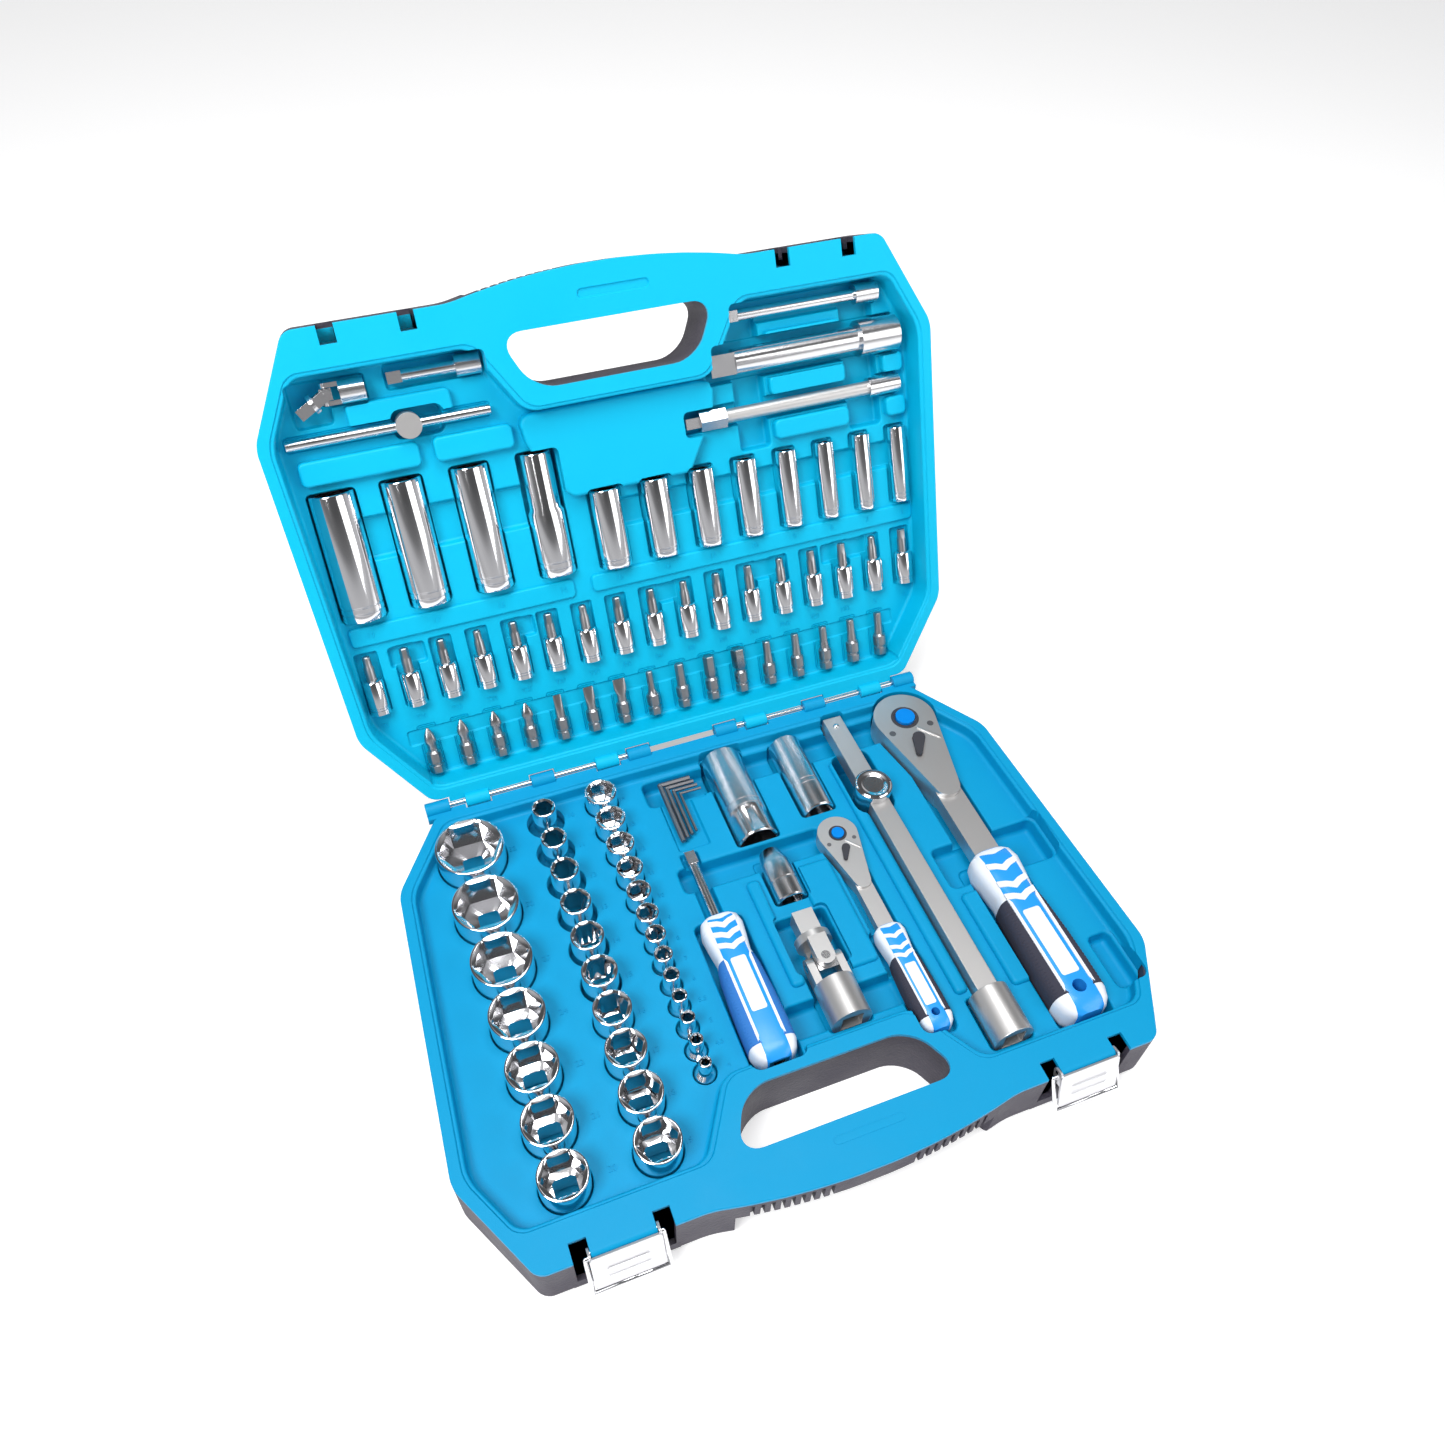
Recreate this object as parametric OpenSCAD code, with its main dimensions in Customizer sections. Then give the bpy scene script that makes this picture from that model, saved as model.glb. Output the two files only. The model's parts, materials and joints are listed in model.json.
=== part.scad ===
// Socket wrench set in a two-part hinged case.
// Lengths are in millimetres and angles in degrees. Each half of the case has a local frame:
// x runs along the hinge, y is the distance from the hinge line, z points out of the tray,
// and z = 0 is the rim.

/* [Case] */
// Overall width across the side corners
case_w = 404; // [396:1:500]
// Depth of a half from its back edge to its front edge, without the grip's bulge
case_d = 281; // [278:1:350]
// Depth of the base half
base_h = 40; // [40:1:60]
// Depth of the lid half
lid_h = 40; // [40:1:60]
// Opening angle at which the lid rests
open_angle = 117; // [95:1:125]
// Shell wall
wall = 2.4; // [1.5:0.1:3]
// Tray wall and floor
tray_wall = 1.6; // [1:0.1:2.5]
// Thickness of the rim flange that lies on the shell
flange_t = 2.5; // [1.5:0.1:4]
// Width of the flat rim round the recess
rim_w = 8.5; // [6:0.5:12]
// Depth of the flat band behind the front edge, under the latches
front_band = 19; // [16:0.5:24]
// Depth of the base tray's face below the rim
base_recess = 10; // [8:0.5:12]
// Depth of the lid tray's face below the rim
lid_recess = 20; // [16:0.5:22]

/* [Carrying handle] */
// Width of the hand opening at its tray side
gap_back_w = 98; // [80:1:110]
// Width of the hand opening at the grip
gap_front_w = 128; // [100:1:140]
// Distance of the grip's inner edge from the front edge
grip_inset = 20; // [16:0.5:24]
// Depth of the hand opening, towards the hinge
gap_d = 32; // [26:1:36]
// How far the grip bulges in front of the front edge
grip_bulge = 9.5; // [4:0.5:14]
// Width of the bulge
grip_w = 172; // [150:1:190]
// Thickness of the grip in one half
grip_h = 18; // [12:1:24]

/* [Hinge and latches] */
// Distance of the hinge line behind the back edges
hinge_gap = 5; // [5:0.5:8]
// Outer radius of a hinge knuckle
knuckle_r = 4.5; // [3.5:0.1:4.5]
// Width of a hinge knuckle
knuckle_w = 15; // [8:1:20]
// Radius of a hinge rod
rod_r = 1.5; // [1:0.1:2]
// Distance of a latch's middle from the case's middle
latch_x = 130; // [100:1:135]
// Width of a latch plate
latch_w = 36.5; // [25:0.5:40]
// Height of a latch plate
latch_l = 25; // [20:0.5:25]
// Sheet thickness of a latch plate
latch_t = 1.2; // [0.8:0.1:1.5]
// Radius of the latch bail's wire
bail_r = 1.2; // [0.8:0.1:1.4]
// Length of the bail from its pivot to its crossbar
bail_l = 22; // [21.5:0.5:26]
// Outward lean of an open latch plate
latch_lean = 16; // [0:1:25]

/* [Sockets] */
// Length of a 1/2 inch socket
half_socket_l = 38; // [30:1:40]
// Length of a 1/4 inch socket
quarter_socket_l = 25; // [20:1:27]
// Length of a deep 1/2 inch socket
deep_half_l = 75; // [60:1:80]
// Length of a deep 1/4 inch socket
deep_quarter_l = 49; // [40:1:56]
// Length of a bit socket's body
bit_socket_l = 22; // [18:1:26]
// Free length of a bit socket's tip
bit_tip_l = 15; // [10:1:18]
// Length of a driver bit
driver_bit_l = 30; // [25:1:34]
// Height of the standing 1/2 inch sockets above the rim
half_stand = 6; // [2:0.5:7]
// Height of the standing 1/4 inch sockets above the rim
quarter_stand = 4; // [0:0.5:6]

/* [Handles and bars] */
// Length of the 1/2 inch ratchet
half_ratchet_l = 250; // [205:1:256]
// Length of the 1/4 inch ratchet
quarter_ratchet_l = 151; // [130:1:170]
// Length of the spinner handle without its shank
spinner_l = 95; // [80:1:100]
// Length of the spinner's shank in front of the handle
spinner_shank_l = 50; // [35:1:52]
// Length of the slide bar
slide_bar_l = 244; // [210:1:250]
// Length of the 1/4 inch T-bar
tbar_l = 113.5; // [95:0.5:116]

/* [Extensions] */
// Length of the short 1/4 inch extension
extension_short_l = 52; // [45:1:60]
// Length of the long 1/4 inch extension
extension_long_l = 100; // [80:1:104]
// Length of the 1/2 inch extension
extension_half_l = 125; // [100:1:128]
// Length of the flexible extension
flex_l = 144; // [120:1:148]

/* [Fits] */
// Gap between a tool and its pocket
pocket_gap = 0.7; // [0.5:0.1:1]
// Gap between a shaft and its bore
running_gap = 0.06; // [0.02:0.01:0.1]
// Gap between pieces that move past each other
slip_gap = 0.4; // [0.3:0.05:0.6]
// Gap between the two rims when the case is closed
rim_gap = 0.4; // [0.3:0.1:0.8]

/* [Hidden] */
$fn = 48;
eps = 0.01;

half_sq = 12.7;
quarter_sq = 6.35;
shell_blue = "#08a4dc";
shell_dark = "#3a3450";
chrome = "#cfd2d6";
satin = "#9c9a98";

// Places along the hinge follow the case's width, and places away from it follow its depth.
function at_x(share) = share * case_w / 2;
function at_s(share) = hinge_gap + share * case_d;
hinge_y = hinge_gap + case_d / 2;
front_s = hinge_gap + case_d;

// ---------------------------------------------------------------- helpers

module base_frame() { translate([0, hinge_y, base_h]) mirror([0, 1, 0]) children(); }
module lid_frame() { translate([0, hinge_y, base_h]) rotate([180 - open_angle, 0, 0]) children(); }
module along_s(x, s, z) { translate([x, s, z]) rotate([-90, 0, 0]) children(); }
module along_x(x, s, z) { translate([x, s, z]) rotate([0, 90, 0]) children(); }

// A box given by its middle in x, its near edge in s, its width, length, floor and top
module slot_box(x, s, w, l, floor_z, top_z) {
    translate([x - w / 2, s, floor_z]) cube([w, l, top_z - floor_z]);
}

function unit(v) = v / norm(v);
function turned(v) = [-v[1], v[0]];
function corner_inset(b, u, v, d) = b + d * (u + v) / (1 + u * v);
// Moves every edge of an anticlockwise outline inwards by d
function inset(pts, d) = [
    for (i = [0 : len(pts) - 1])
        let (n = len(pts), a = pts[(i + n - 1) % n], b = pts[i], c = pts[(i + 1) % n])
            corner_inset(b, turned(unit(b - a)), turned(unit(c - b)), d)
];
function mirrored(pts) = [for (i = [len(pts) - 1 : -1 : 0]) [-pts[i][0], pts[i][1]]];
function both_sides(pts) = concat(pts, mirrored(pts));
function even(first, last, n, i) = first + (last - first) * i / (n - 1);
function sum(v, i = 0) = i >= len(v) ? 0 : v[i] + sum(v, i + 1);
// Places round pieces of the given diameters between two middles, with equal gaps
function spread(d, first, last) =
    let (n = len(d),
         pitch = [for (i = [0 : n - 2]) (d[i] + d[i + 1]) / 2],
         spare = (last - first - sum(pitch)) / (n - 1))
    [for (i = [0 : n - 1]) first + sum([for (j = [0 : 1 : i - 1]) pitch[j] + spare])];

// A round head that tapers into a round neck
module teardrop_outline(r1, r2, d) {
    lean = asin((r1 - r2) / d);
    circle(r1);
    translate([0, d]) circle(r2);
    polygon(both_sides([[r1 * cos(lean), r1 * sin(lean)], [r2 * cos(lean), d + r2 * sin(lean)]]));
}

// ---------------------------------------------------------------- case

case_pts = both_sides([
    [at_x(0.807), hinge_gap],
    [at_x(0.965), at_s(0.174)],
    [at_x(1), at_s(0.804)],
    [at_x(0.856), front_s]
]);
gap_front_s = front_s - grip_inset;
gap_back_s = gap_front_s - gap_d;
boss_w = latch_w - 2 * latch_t - 2 * slip_gap;
notch_w = 9;
notch_d = 10;
notch_h = 29;
nose_r = 3;
pin_latch_r = 1.2;
pivot_inset = nose_r;
pivot_z = -nose_r - rim_gap / 2;
ear_r = 2.6;
bail_pivot_inset = pivot_inset + 0.6;
bail_pivot_z = pivot_z - 4.6;
bail_x = latch_w / 2 + slip_gap + bail_r;
bail_swing = asin((bail_pivot_inset + bail_r + slip_gap) / bail_l);
hook_z = bail_pivot_z + bail_l;

module grip_outline() {
    r = (grip_w * grip_w / 4 + grip_bulge * grip_bulge) / (2 * grip_bulge);
    intersection() {
        translate([0, front_s + grip_bulge - r]) circle(r, $fn = 180);
        translate([-grip_w / 2, gap_front_s]) square([grip_w, grip_inset + grip_bulge + 1]);
    }
}

module case_outline() {
    polygon(case_pts);
    grip_outline();
}

module gap_outline() {
    polygon(both_sides([[gap_back_w / 2, gap_back_s], [gap_front_w / 2, gap_front_s]]));
}

// The hand opening with its surround, out to the front edge
module gap_surround(grow) {
    polygon(both_sides([
        [gap_back_w / 2 + grow, gap_back_s - grow],
        [gap_front_w / 2 + grow, gap_front_s],
        [grip_w / 2 + grow, front_s + 30]
    ]));
}

// Keeps what lies within the shell's walls
module inside_shell() {
    intersection() {
        children();
        translate([0, 0, -lid_h - base_h]) linear_extrude(lid_h + base_h)
            polygon(inset(case_pts, wall + slip_gap));
    }
}

module recess_outline(grow = 0) {
    difference() {
        intersection() {
            polygon(inset(case_pts, rim_w - grow));
            translate([-case_w, 0]) square([2 * case_w, front_s - front_band + grow]);
        }
        gap_surround(rim_w - grow);
    }
}

module latch_notches(depth) {
    for (side = [-1, 1], edge = [-1, 1])
        translate([side * latch_x + edge * (boss_w / 2 + notch_w / 2) - notch_w / 2,
                   front_s - notch_d, -depth])
            cube([notch_w, notch_d + 2, depth + 1]);
}

// Rounds the front of each latch boss about the latch's pin
module boss_noses() {
    for (side = [-1, 1]) difference() {
        translate([side * latch_x - boss_w / 2 - 1, front_s - pivot_inset, pivot_z])
            cube([boss_w + 2, pivot_inset + 1, 5]);
        along_x(side * latch_x - boss_w, front_s - pivot_inset, pivot_z)
            cylinder(h = 2 * boss_w, r = nose_r);
    }
}

// The groove in the lid's front in which a bail's crossbar seats
module catch_grooves() {
    depth = bail_pivot_inset + bail_r + 2 * slip_gap;
    for (side = [-1, 1])
        translate([side * latch_x - boss_w / 2 - notch_w, front_s - depth, -hook_z - 3])
            cube([boss_w + 2 * notch_w, depth + 1, 3 + bail_r + slip_gap]);
}

module shell_half(depth) {
    difference() {
        union() {
            difference() {
                translate([0, 0, -depth]) linear_extrude(depth - flange_t) case_outline();
                translate([0, 0, wall - depth]) linear_extrude(depth) difference() {
                    polygon(inset(case_pts, wall));
                    gap_surround(wall);
                }
            }
            for (side = [-1, 1])
                slot_box(side * latch_x, front_s - notch_d - wall, boss_w + 2 * notch_w + 2 * wall,
                         notch_d, wall - depth - eps, -flange_t);
        }
        translate([0, 0, -depth - 1]) linear_extrude(depth + 2) gap_outline();
        translate([0, 0, -depth - 1]) linear_extrude(depth + 1 - grip_h) polygon(both_sides([
            [gap_front_w / 2, gap_front_s - 1],
            [grip_w / 2, front_s + grip_bulge + 1]
        ]));
        latch_notches(notch_h);
    }
}

// Positive tray body: flange, recess walls and recess floor
module tray_body(recess) {
    translate([0, 0, -flange_t]) linear_extrude(flange_t - rim_gap / 2) case_outline();
    translate([0, 0, -recess - tray_wall])
        linear_extrude(recess + tray_wall - flange_t + eps) recess_outline(tray_wall);
}

module tray_cuts(recess) {
    translate([0, 0, -recess]) linear_extrude(recess + 1) recess_outline();
    translate([0, 0, -flange_t - 1]) linear_extrude(flange_t + 2) gap_outline();
    latch_notches(notch_h);
}

// Middles of the knuckles on one side of the case
lid_knuckles = [at_x(0.673), at_x(0.255)];
base_knuckles = [at_x(0.797), at_x(0.465), at_x(0.149)];

module knuckles(places) {
    for (side = [-1, 1], x = places)
        translate([side * x - knuckle_w / 2, 0, 0]) {
            rotate([0, 90, 0]) cylinder(h = knuckle_w, r = knuckle_r);
            translate([0, 0, -knuckle_r])
                cube([knuckle_w, hinge_gap + wall, knuckle_r - rim_gap / 2]);
        }
}

module knuckle_bores(places, gap) {
    for (side = [-1, 1], x = places)
        translate([side * x - knuckle_w / 2 - 1, 0, 0])
            rotate([0, 90, 0]) cylinder(h = knuckle_w + 2, r = rod_r + gap);
}

module knuckle_seats(places) {
    for (side = [-1, 1], x = places)
        translate([side * x - knuckle_w / 2, 0, -knuckle_r])
            cube([knuckle_w, hinge_gap + wall, knuckle_r + 1]);
}

module base_shell() {
    color(shell_dark) base_frame() difference() {
        shell_half(base_h);
        knuckle_seats(base_knuckles);
        boss_noses();
        latch_pin_shapes(running_gap);
    }
}

module lid_shell() {
    color(shell_dark) lid_frame() difference() {
        shell_half(lid_h);
        knuckle_seats(lid_knuckles);
        catch_grooves();
    }
}

module base_tray() {
    color(shell_blue) base_frame() difference() {
        union() {
            tray_body(base_recess);
            base_blocks();
            knuckles(base_knuckles);
        }
        tray_cuts(base_recess);
        base_voids();
        boss_noses();
        latch_pin_shapes(running_gap);
        knuckle_bores(base_knuckles, running_gap);
    }
}

module lid_tray() {
    color(shell_blue) lid_frame() difference() {
        union() {
            tray_body(lid_recess);
            lid_blocks();
            knuckles(lid_knuckles);
        }
        tray_cuts(lid_recess);
        lid_voids();
        knuckle_bores(lid_knuckles, running_gap);
    }
}

module hinge_rods() {
    first = base_knuckles[2] - knuckle_w / 2 + 1;
    last = base_knuckles[0] + knuckle_w / 2 - 1;
    color(chrome) base_frame() for (start = [first, -last])
        along_x(start, 0, 0) cylinder(h = last - first, r = rod_r);
}

// ---------------------------------------------------------------- latches

module latch_pin_shapes(gap) {
    for (side = [-1, 1])
        along_x(side * latch_x - latch_w / 2, front_s - pivot_inset, pivot_z)
            cylinder(h = latch_w, r = pin_latch_r + gap);
}

module latch_pins() { color(chrome) base_frame() latch_pin_shapes(0); }

// Turns a latch from its closed place to its open place at rest
module latch_frame(side) {
    base_frame() translate([side * latch_x, front_s - pivot_inset, pivot_z])
        rotate([latch_lean, 0, 0]) translate([0, pivot_inset - front_s, -pivot_z]) children();
}

module latch_plate(side) {
    ear_h = pivot_z - bail_pivot_z + ear_r;
    color(chrome) latch_frame(side) difference() {
        union() {
            translate([-latch_w / 2, front_s + slip_gap, pivot_z + 1 - latch_l])
                cube([latch_w, latch_t, latch_l]);
            for (edge = [-latch_w / 2, latch_w / 2 - latch_t]) {
                translate([edge, front_s - pivot_inset - ear_r, pivot_z - ear_h])
                    cube([latch_t, pivot_inset + ear_r + slip_gap + eps, ear_h]);
                along_x(edge, front_s - pivot_inset, pivot_z) cylinder(h = latch_t, r = ear_r);
            }
        }
        along_x(-latch_w, front_s - pivot_inset, pivot_z)
            cylinder(h = 2 * latch_w, r = pin_latch_r + running_gap);
        along_x(-latch_w, front_s - bail_pivot_inset, bail_pivot_z)
            cylinder(h = 2 * latch_w, r = bail_r + running_gap);
    }
}

// The bail hangs below the plate, swung outwards so that its crossbar clears the shell
module latch_bail(side) {
    hook_end = latch_w / 2 - latch_t - slip_gap / 4;
    color(chrome) latch_frame(side)
        translate([0, front_s - bail_pivot_inset, bail_pivot_z]) rotate([bail_swing, 0, 0]) {
            along_x(-bail_x, 0, -bail_l) cylinder(h = 2 * bail_x, r = bail_r);
            for (x = [-bail_x, bail_x]) {
                translate([x, 0, -bail_l]) cylinder(h = bail_l, r = bail_r);
                translate([x, 0, -bail_l]) sphere(bail_r);
                translate([x, 0, 0]) sphere(bail_r);
            }
            for (start = [-bail_x, hook_end])
                along_x(start, 0, 0) cylinder(h = bail_x - hook_end, r = bail_r);
        }
}

module latch_plate_left() { latch_plate(-1); }
module latch_plate_right() { latch_plate(1); }
module latch_bail_left() { latch_bail(-1); }
module latch_bail_right() { latch_bail(1); }

// ---------------------------------------------------------------- standing sockets

large_sizes = [32, 30, 27, 24, 22, 21, 20];
medium_sizes = [10, 11, 12, 13, 14, 15, 16, 17, 18, 19];
small_sizes = [14, 13, 12, 11, 10, 9, 8, 7, 6, 5.5, 5, 4.5, 4];
half_ring_d = 22;
quarter_ring_d = 12;
function half_od(size) = 1.2 * size + 2.8;
function quarter_od(size) = 1.3 * size + 2;
large_d = [for (size = large_sizes) half_od(size)];
medium_d = [for (size = medium_sizes) max(half_od(size), half_ring_d)];
small_d = [for (size = small_sizes) max(quarter_od(size), quarter_ring_d)];
large_x = at_x(-0.738);
medium_x = at_x(-0.495);
small_x = at_x(-0.312);
large_s = spread(large_d, at_s(0.12), at_s(0.858));
medium_s = spread(medium_d, at_s(0.075), at_s(0.858));
small_s = spread(small_d, at_s(0.07), at_s(0.747));

// A socket that stands on its drive end
module socket(size, od, ring_d, l, sq) {
    hex_d = 0.55 * l;
    difference() {
        union() {
            cylinder(h = l, r = od / 2);
            if (od < ring_d) {
                cylinder(h = 0.42 * l, r = ring_d / 2);
                translate([0, 0, 0.42 * l]) cylinder(h = 0.1 * l, r1 = ring_d / 2, r2 = od / 2);
            }
        }
        translate([0, 0, l - hex_d]) cylinder(h = hex_d + 1, r = size / 2 / cos(30), $fn = 6);
        translate([-sq / 2, -sq / 2, -1]) cube([sq, sq, l - hex_d + 1 + eps]);
    }
}

module socket_column(sizes, x, places, od, ring_d, l, sq, top) {
    color(chrome) base_frame() for (i = [0 : len(sizes) - 1])
        translate([x, places[i], top - l]) socket(sizes[i], od[i], ring_d, l, sq);
}

module sockets_large() {
    socket_column(large_sizes, large_x, large_s, large_d, 0, half_socket_l, half_sq, half_stand);
}
module sockets_medium() {
    socket_column(medium_sizes, medium_x, medium_s, [for (size = medium_sizes) half_od(size)],
                  half_ring_d, half_socket_l, half_sq, half_stand);
}
module sockets_small() {
    socket_column(small_sizes, small_x, small_s, [for (size = small_sizes) quarter_od(size)],
                  quarter_ring_d, quarter_socket_l, quarter_sq, quarter_stand);
}

module column_block(x, places, d, floor_z) {
    last = len(places) - 1;
    reach = max(d) + 2 * pocket_gap + 2 * tray_wall;
    near = places[0] - d[0] / 2 - pocket_gap - tray_wall;
    far = places[last] + d[last] / 2 + pocket_gap + tray_wall;
    slot_box(x, near, reach, far - near, floor_z - tray_wall, -base_recess);
}

module column_voids(x, places, d, floor_z) {
    last = len(places) - 1;
    for (i = [0 : last])
        translate([x, places[i], floor_z]) cylinder(h = 1 - floor_z, r = d[i] / 2 + pocket_gap);
    slot_box(x, places[0], 0.4 * min(d), places[last] - places[0], floor_z, 1);
}

// ---------------------------------------------------------------- ratchets

ratchet_z = -9.5;
half_ratchet_x = at_x(0.733);
half_ratchet_s = at_s(0.0925);
quarter_ratchet_x = at_x(0.332);
quarter_ratchet_s = at_s(0.338);
quarter_k = 0.604;
// Sizes of a ratchet of the 1/2 inch scale, measured from the head's middle
head_r = 21;
head_t = 17;
cover_t = 3;
neck_r = 8.5;
neck_y = 60;
neck_t = 11;
handle_l = 115;
handle_t = 26;
gear_r = 11;
pawl_y = 20;
button_r = 6.5;
lever_throw = 50;

module ratchet_frame(x, s) { base_frame() translate([x, s, ratchet_z]) children(); }

function handle_half(l) = [
    [4, l], [12, l - 2], [16.5, l - 11], [16.5, l - 29], [16, l - 49], [14.5, l - 71],
    [12.5, l - 82], [13.5, l - 89], [15.5, l - 105], [14, l - 112], [10, l - handle_l]
];
module handle_outline(l) { polygon(both_sides(handle_half(l))); }
module grip_bands(l) {
    for (side = [0, 1]) mirror([side, 0]) translate([9.5, l - 78]) square([20, 66]);
}

module ratchet_body(k, l) {
    tang_l = 60;
    difference() {
        union() {
            translate([0, 0, -head_t * k / 2]) linear_extrude((head_t - cover_t) * k)
                teardrop_outline(head_r * k, neck_r * k, neck_y * k);
            slot_box(0, neck_y * k, 2 * neck_r * k, l - (handle_l + neck_y) * k, -neck_t * k / 2,
                     neck_t * k / 2);
            slot_box(0, l - handle_l * k - 1, 14 * k, tang_l * k + 1, -4 * k, 4 * k);
        }
        translate([0, 0, -5 * k]) cylinder(h = 20 * k, r = gear_r * k + slip_gap);
        translate([0, 0, -20 * k]) cylinder(h = 20 * k, r = 9.5 * k + running_gap);
        translate([0, pawl_y * k, -5 * k]) cylinder(h = 20 * k, r = 8.4 * k + slip_gap);
        screw_shapes(k, running_gap);
    }
}

module screw_shapes(k, gap) {
    for (side = [-1, 1])
        translate([side * 14 * k, 10 * k, 0]) cylinder(h = head_t * k / 2, r = 2.2 * k + gap);
}

module ratchet_cover(k) {
    difference() {
        translate([0, 0, (head_t / 2 - cover_t) * k]) linear_extrude(cover_t * k)
            teardrop_outline(head_r * k, neck_r * k, neck_y * k);
        cylinder(h = 20 * k, r = button_r * k + slip_gap);
        translate([0, pawl_y * k, 0]) cylinder(h = 20 * k, r = 3 * k + running_gap);
        screw_shapes(k, running_gap);
    }
}

module ratchet_drive(k, sq, sq_l) {
    difference() {
        union() {
            translate([0, 0, slip_gap - 5 * k]) cylinder(h = 9.8 * k - slip_gap, r = gear_r * k);
            translate([0, 0, -9 * k]) cylinder(h = 5 * k, r = 9.5 * k);
            translate([-sq / 2, -sq / 2, -9 * k - sq_l]) cube([sq, sq, sq_l + 1]);
        }
        translate([0, 0, -50]) cylinder(h = 100, r = 3 * k + running_gap);
    }
}

module ratchet_button(k, sq_l) {
    translate([0, 0, -9 * k - sq_l + 3]) cylinder(h = 16 * k + sq_l - 3, r = 3 * k);
    translate([0, 0, 7 * k]) cylinder(h = 3.4 * k, r = button_r * k);
}

module ratchet_lever(k) {
    top = head_t * k / 2;
    translate([0, pawl_y * k, 0]) rotate([0, 0, lever_throw / 2]) {
        translate([0, 0, 4.5 * k]) cylinder(h = 7 * k, r = 3 * k);
        translate([0, 0, top + slip_gap]) linear_extrude(2.6 * k) teardrop_outline(4.2 * k, 2 * k, 13 * k);
    }
}

module ratchet_pawl(k) {
    translate([0, pawl_y * k, 0]) rotate([0, 0, lever_throw / 2])
        translate([-5 * k, -5.5 * k, slip_gap - 5 * k]) cube([10 * k, 10 * k, 9.5 * k - slip_gap]);
}

module ratchet_handle(k, l) {
    difference() {
        translate([0, 0, -handle_t * k / 2]) linear_extrude(handle_t * k) difference() {
            scale(k) handle_outline(l / k);
            scale(k) grip_bands(l / k);
        }
        slot_box(0, l - handle_l * k - 1, 14 * k + 2 * running_gap, 60 * k + 1 + running_gap,
                 -4 * k - running_gap, 4 * k + running_gap);
        translate([0, l - 15 * k, -50]) cylinder(h = 100, r = 4 * k);
    }
}

module ratchet_grip(k, l) {
    translate([0, 0, -handle_t * k / 2]) linear_extrude(handle_t * k) intersection() {
        scale(k) handle_outline(l / k);
        scale(k) grip_bands(l / k);
    }
}

half_reach = half_ratchet_l - head_r;
quarter_reach = quarter_ratchet_l - head_r * quarter_k;
half_sq_l = 15.5;
quarter_sq_l = 9;

module half_ratchet() { ratchet_frame(half_ratchet_x, half_ratchet_s) children(); }
module quarter_ratchet() { ratchet_frame(quarter_ratchet_x, quarter_ratchet_s) children(); }
module half_ratchet_body() { color(satin) half_ratchet() ratchet_body(1, half_reach); }
module half_ratchet_cover() { color(satin) half_ratchet() ratchet_cover(1); }
module half_ratchet_screws() { color("#222228") half_ratchet() screw_shapes(1, 0); }
module half_ratchet_drive() { color(chrome) half_ratchet() ratchet_drive(1, half_sq, half_sq_l); }
module half_ratchet_button() { color(shell_blue) half_ratchet() ratchet_button(1, half_sq_l); }
module half_ratchet_lever() { color("#222228") half_ratchet() ratchet_lever(1); }
module half_ratchet_pawl() { color(chrome) half_ratchet() ratchet_pawl(1); }
module half_ratchet_handle() { color("#1b8fe0") half_ratchet() ratchet_handle(1, half_reach); }
module half_ratchet_grip() { color("#222233") half_ratchet() ratchet_grip(1, half_reach); }
module quarter_ratchet_body() {
    color(satin) quarter_ratchet() ratchet_body(quarter_k, quarter_reach);
}
module quarter_ratchet_cover() { color(satin) quarter_ratchet() ratchet_cover(quarter_k); }
module quarter_ratchet_screws() {
    color("#222228") quarter_ratchet() screw_shapes(quarter_k, 0);
}
module quarter_ratchet_drive() {
    color(chrome) quarter_ratchet() ratchet_drive(quarter_k, quarter_sq, quarter_sq_l);
}
module quarter_ratchet_button() {
    color(shell_blue) quarter_ratchet() ratchet_button(quarter_k, quarter_sq_l);
}
module quarter_ratchet_lever() { color("#222228") quarter_ratchet() ratchet_lever(quarter_k); }
module quarter_ratchet_pawl() { color(chrome) quarter_ratchet() ratchet_pawl(quarter_k); }
module quarter_ratchet_handle() {
    color("#1b8fe0") quarter_ratchet() ratchet_handle(quarter_k, quarter_reach);
}
module quarter_ratchet_grip() {
    color("#222233") quarter_ratchet() ratchet_grip(quarter_k, quarter_reach);
}

// Void of a ratchet's pocket, grown outwards for its walls
module ratchet_pocket(x, s, k, l, sq_l, grow, top) {
    gap = pocket_gap + grow;
    head_floor = ratchet_z - head_t * k / 2 - gap;
    translate([x, s, head_floor]) linear_extrude(top - head_floor)
        teardrop_outline(head_r * k + gap, neck_r * k + gap, neck_y * k);
    slot_box(x, s + 30 * k, 26 * k + 2 * gap, l - (30 + handle_l) * k, head_floor, top);
    slot_box(x, s + l - (handle_l + 3) * k - gap, 33 * k + 2 * gap, (handle_l + 3) * k + 2 * gap,
             ratchet_z - handle_t * k / 2 - gap, top);
    slot_box(x, s - 10 * k - gap, 20 * k + 2 * gap, 20 * k + 2 * gap,
             ratchet_z - 9 * k - sq_l - gap, top);
}

// ---------------------------------------------------------------- spinner and hex keys

spinner_x = at_x(-0.119);
spinner_s = at_s(0.783);
spinner_k = spinner_l / handle_l;
spinner_z = -9;
spinner_start = spinner_s - spinner_l;
shank_r = 3;

module spinner_frame() { base_frame() translate([spinner_x, spinner_start, spinner_z]) children(); }

module spinner_shank() {
    tip_l = 9;
    color(chrome) spinner_frame() {
        along_s(0, tip_l - spinner_shank_l, 0)
            cylinder(h = spinner_shank_l - tip_l + 0.6 * spinner_l, r = shank_r);
        slot_box(0, -spinner_shank_l, quarter_sq, tip_l + eps, -quarter_sq / 2, quarter_sq / 2);
        difference() {
            slot_box(0, spinner_l - 12, 12, 11.5, -6, 6);
            slot_box(0, spinner_l - 9, quarter_sq, 10, -quarter_sq / 2, quarter_sq / 2);
        }
    }
}

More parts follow.
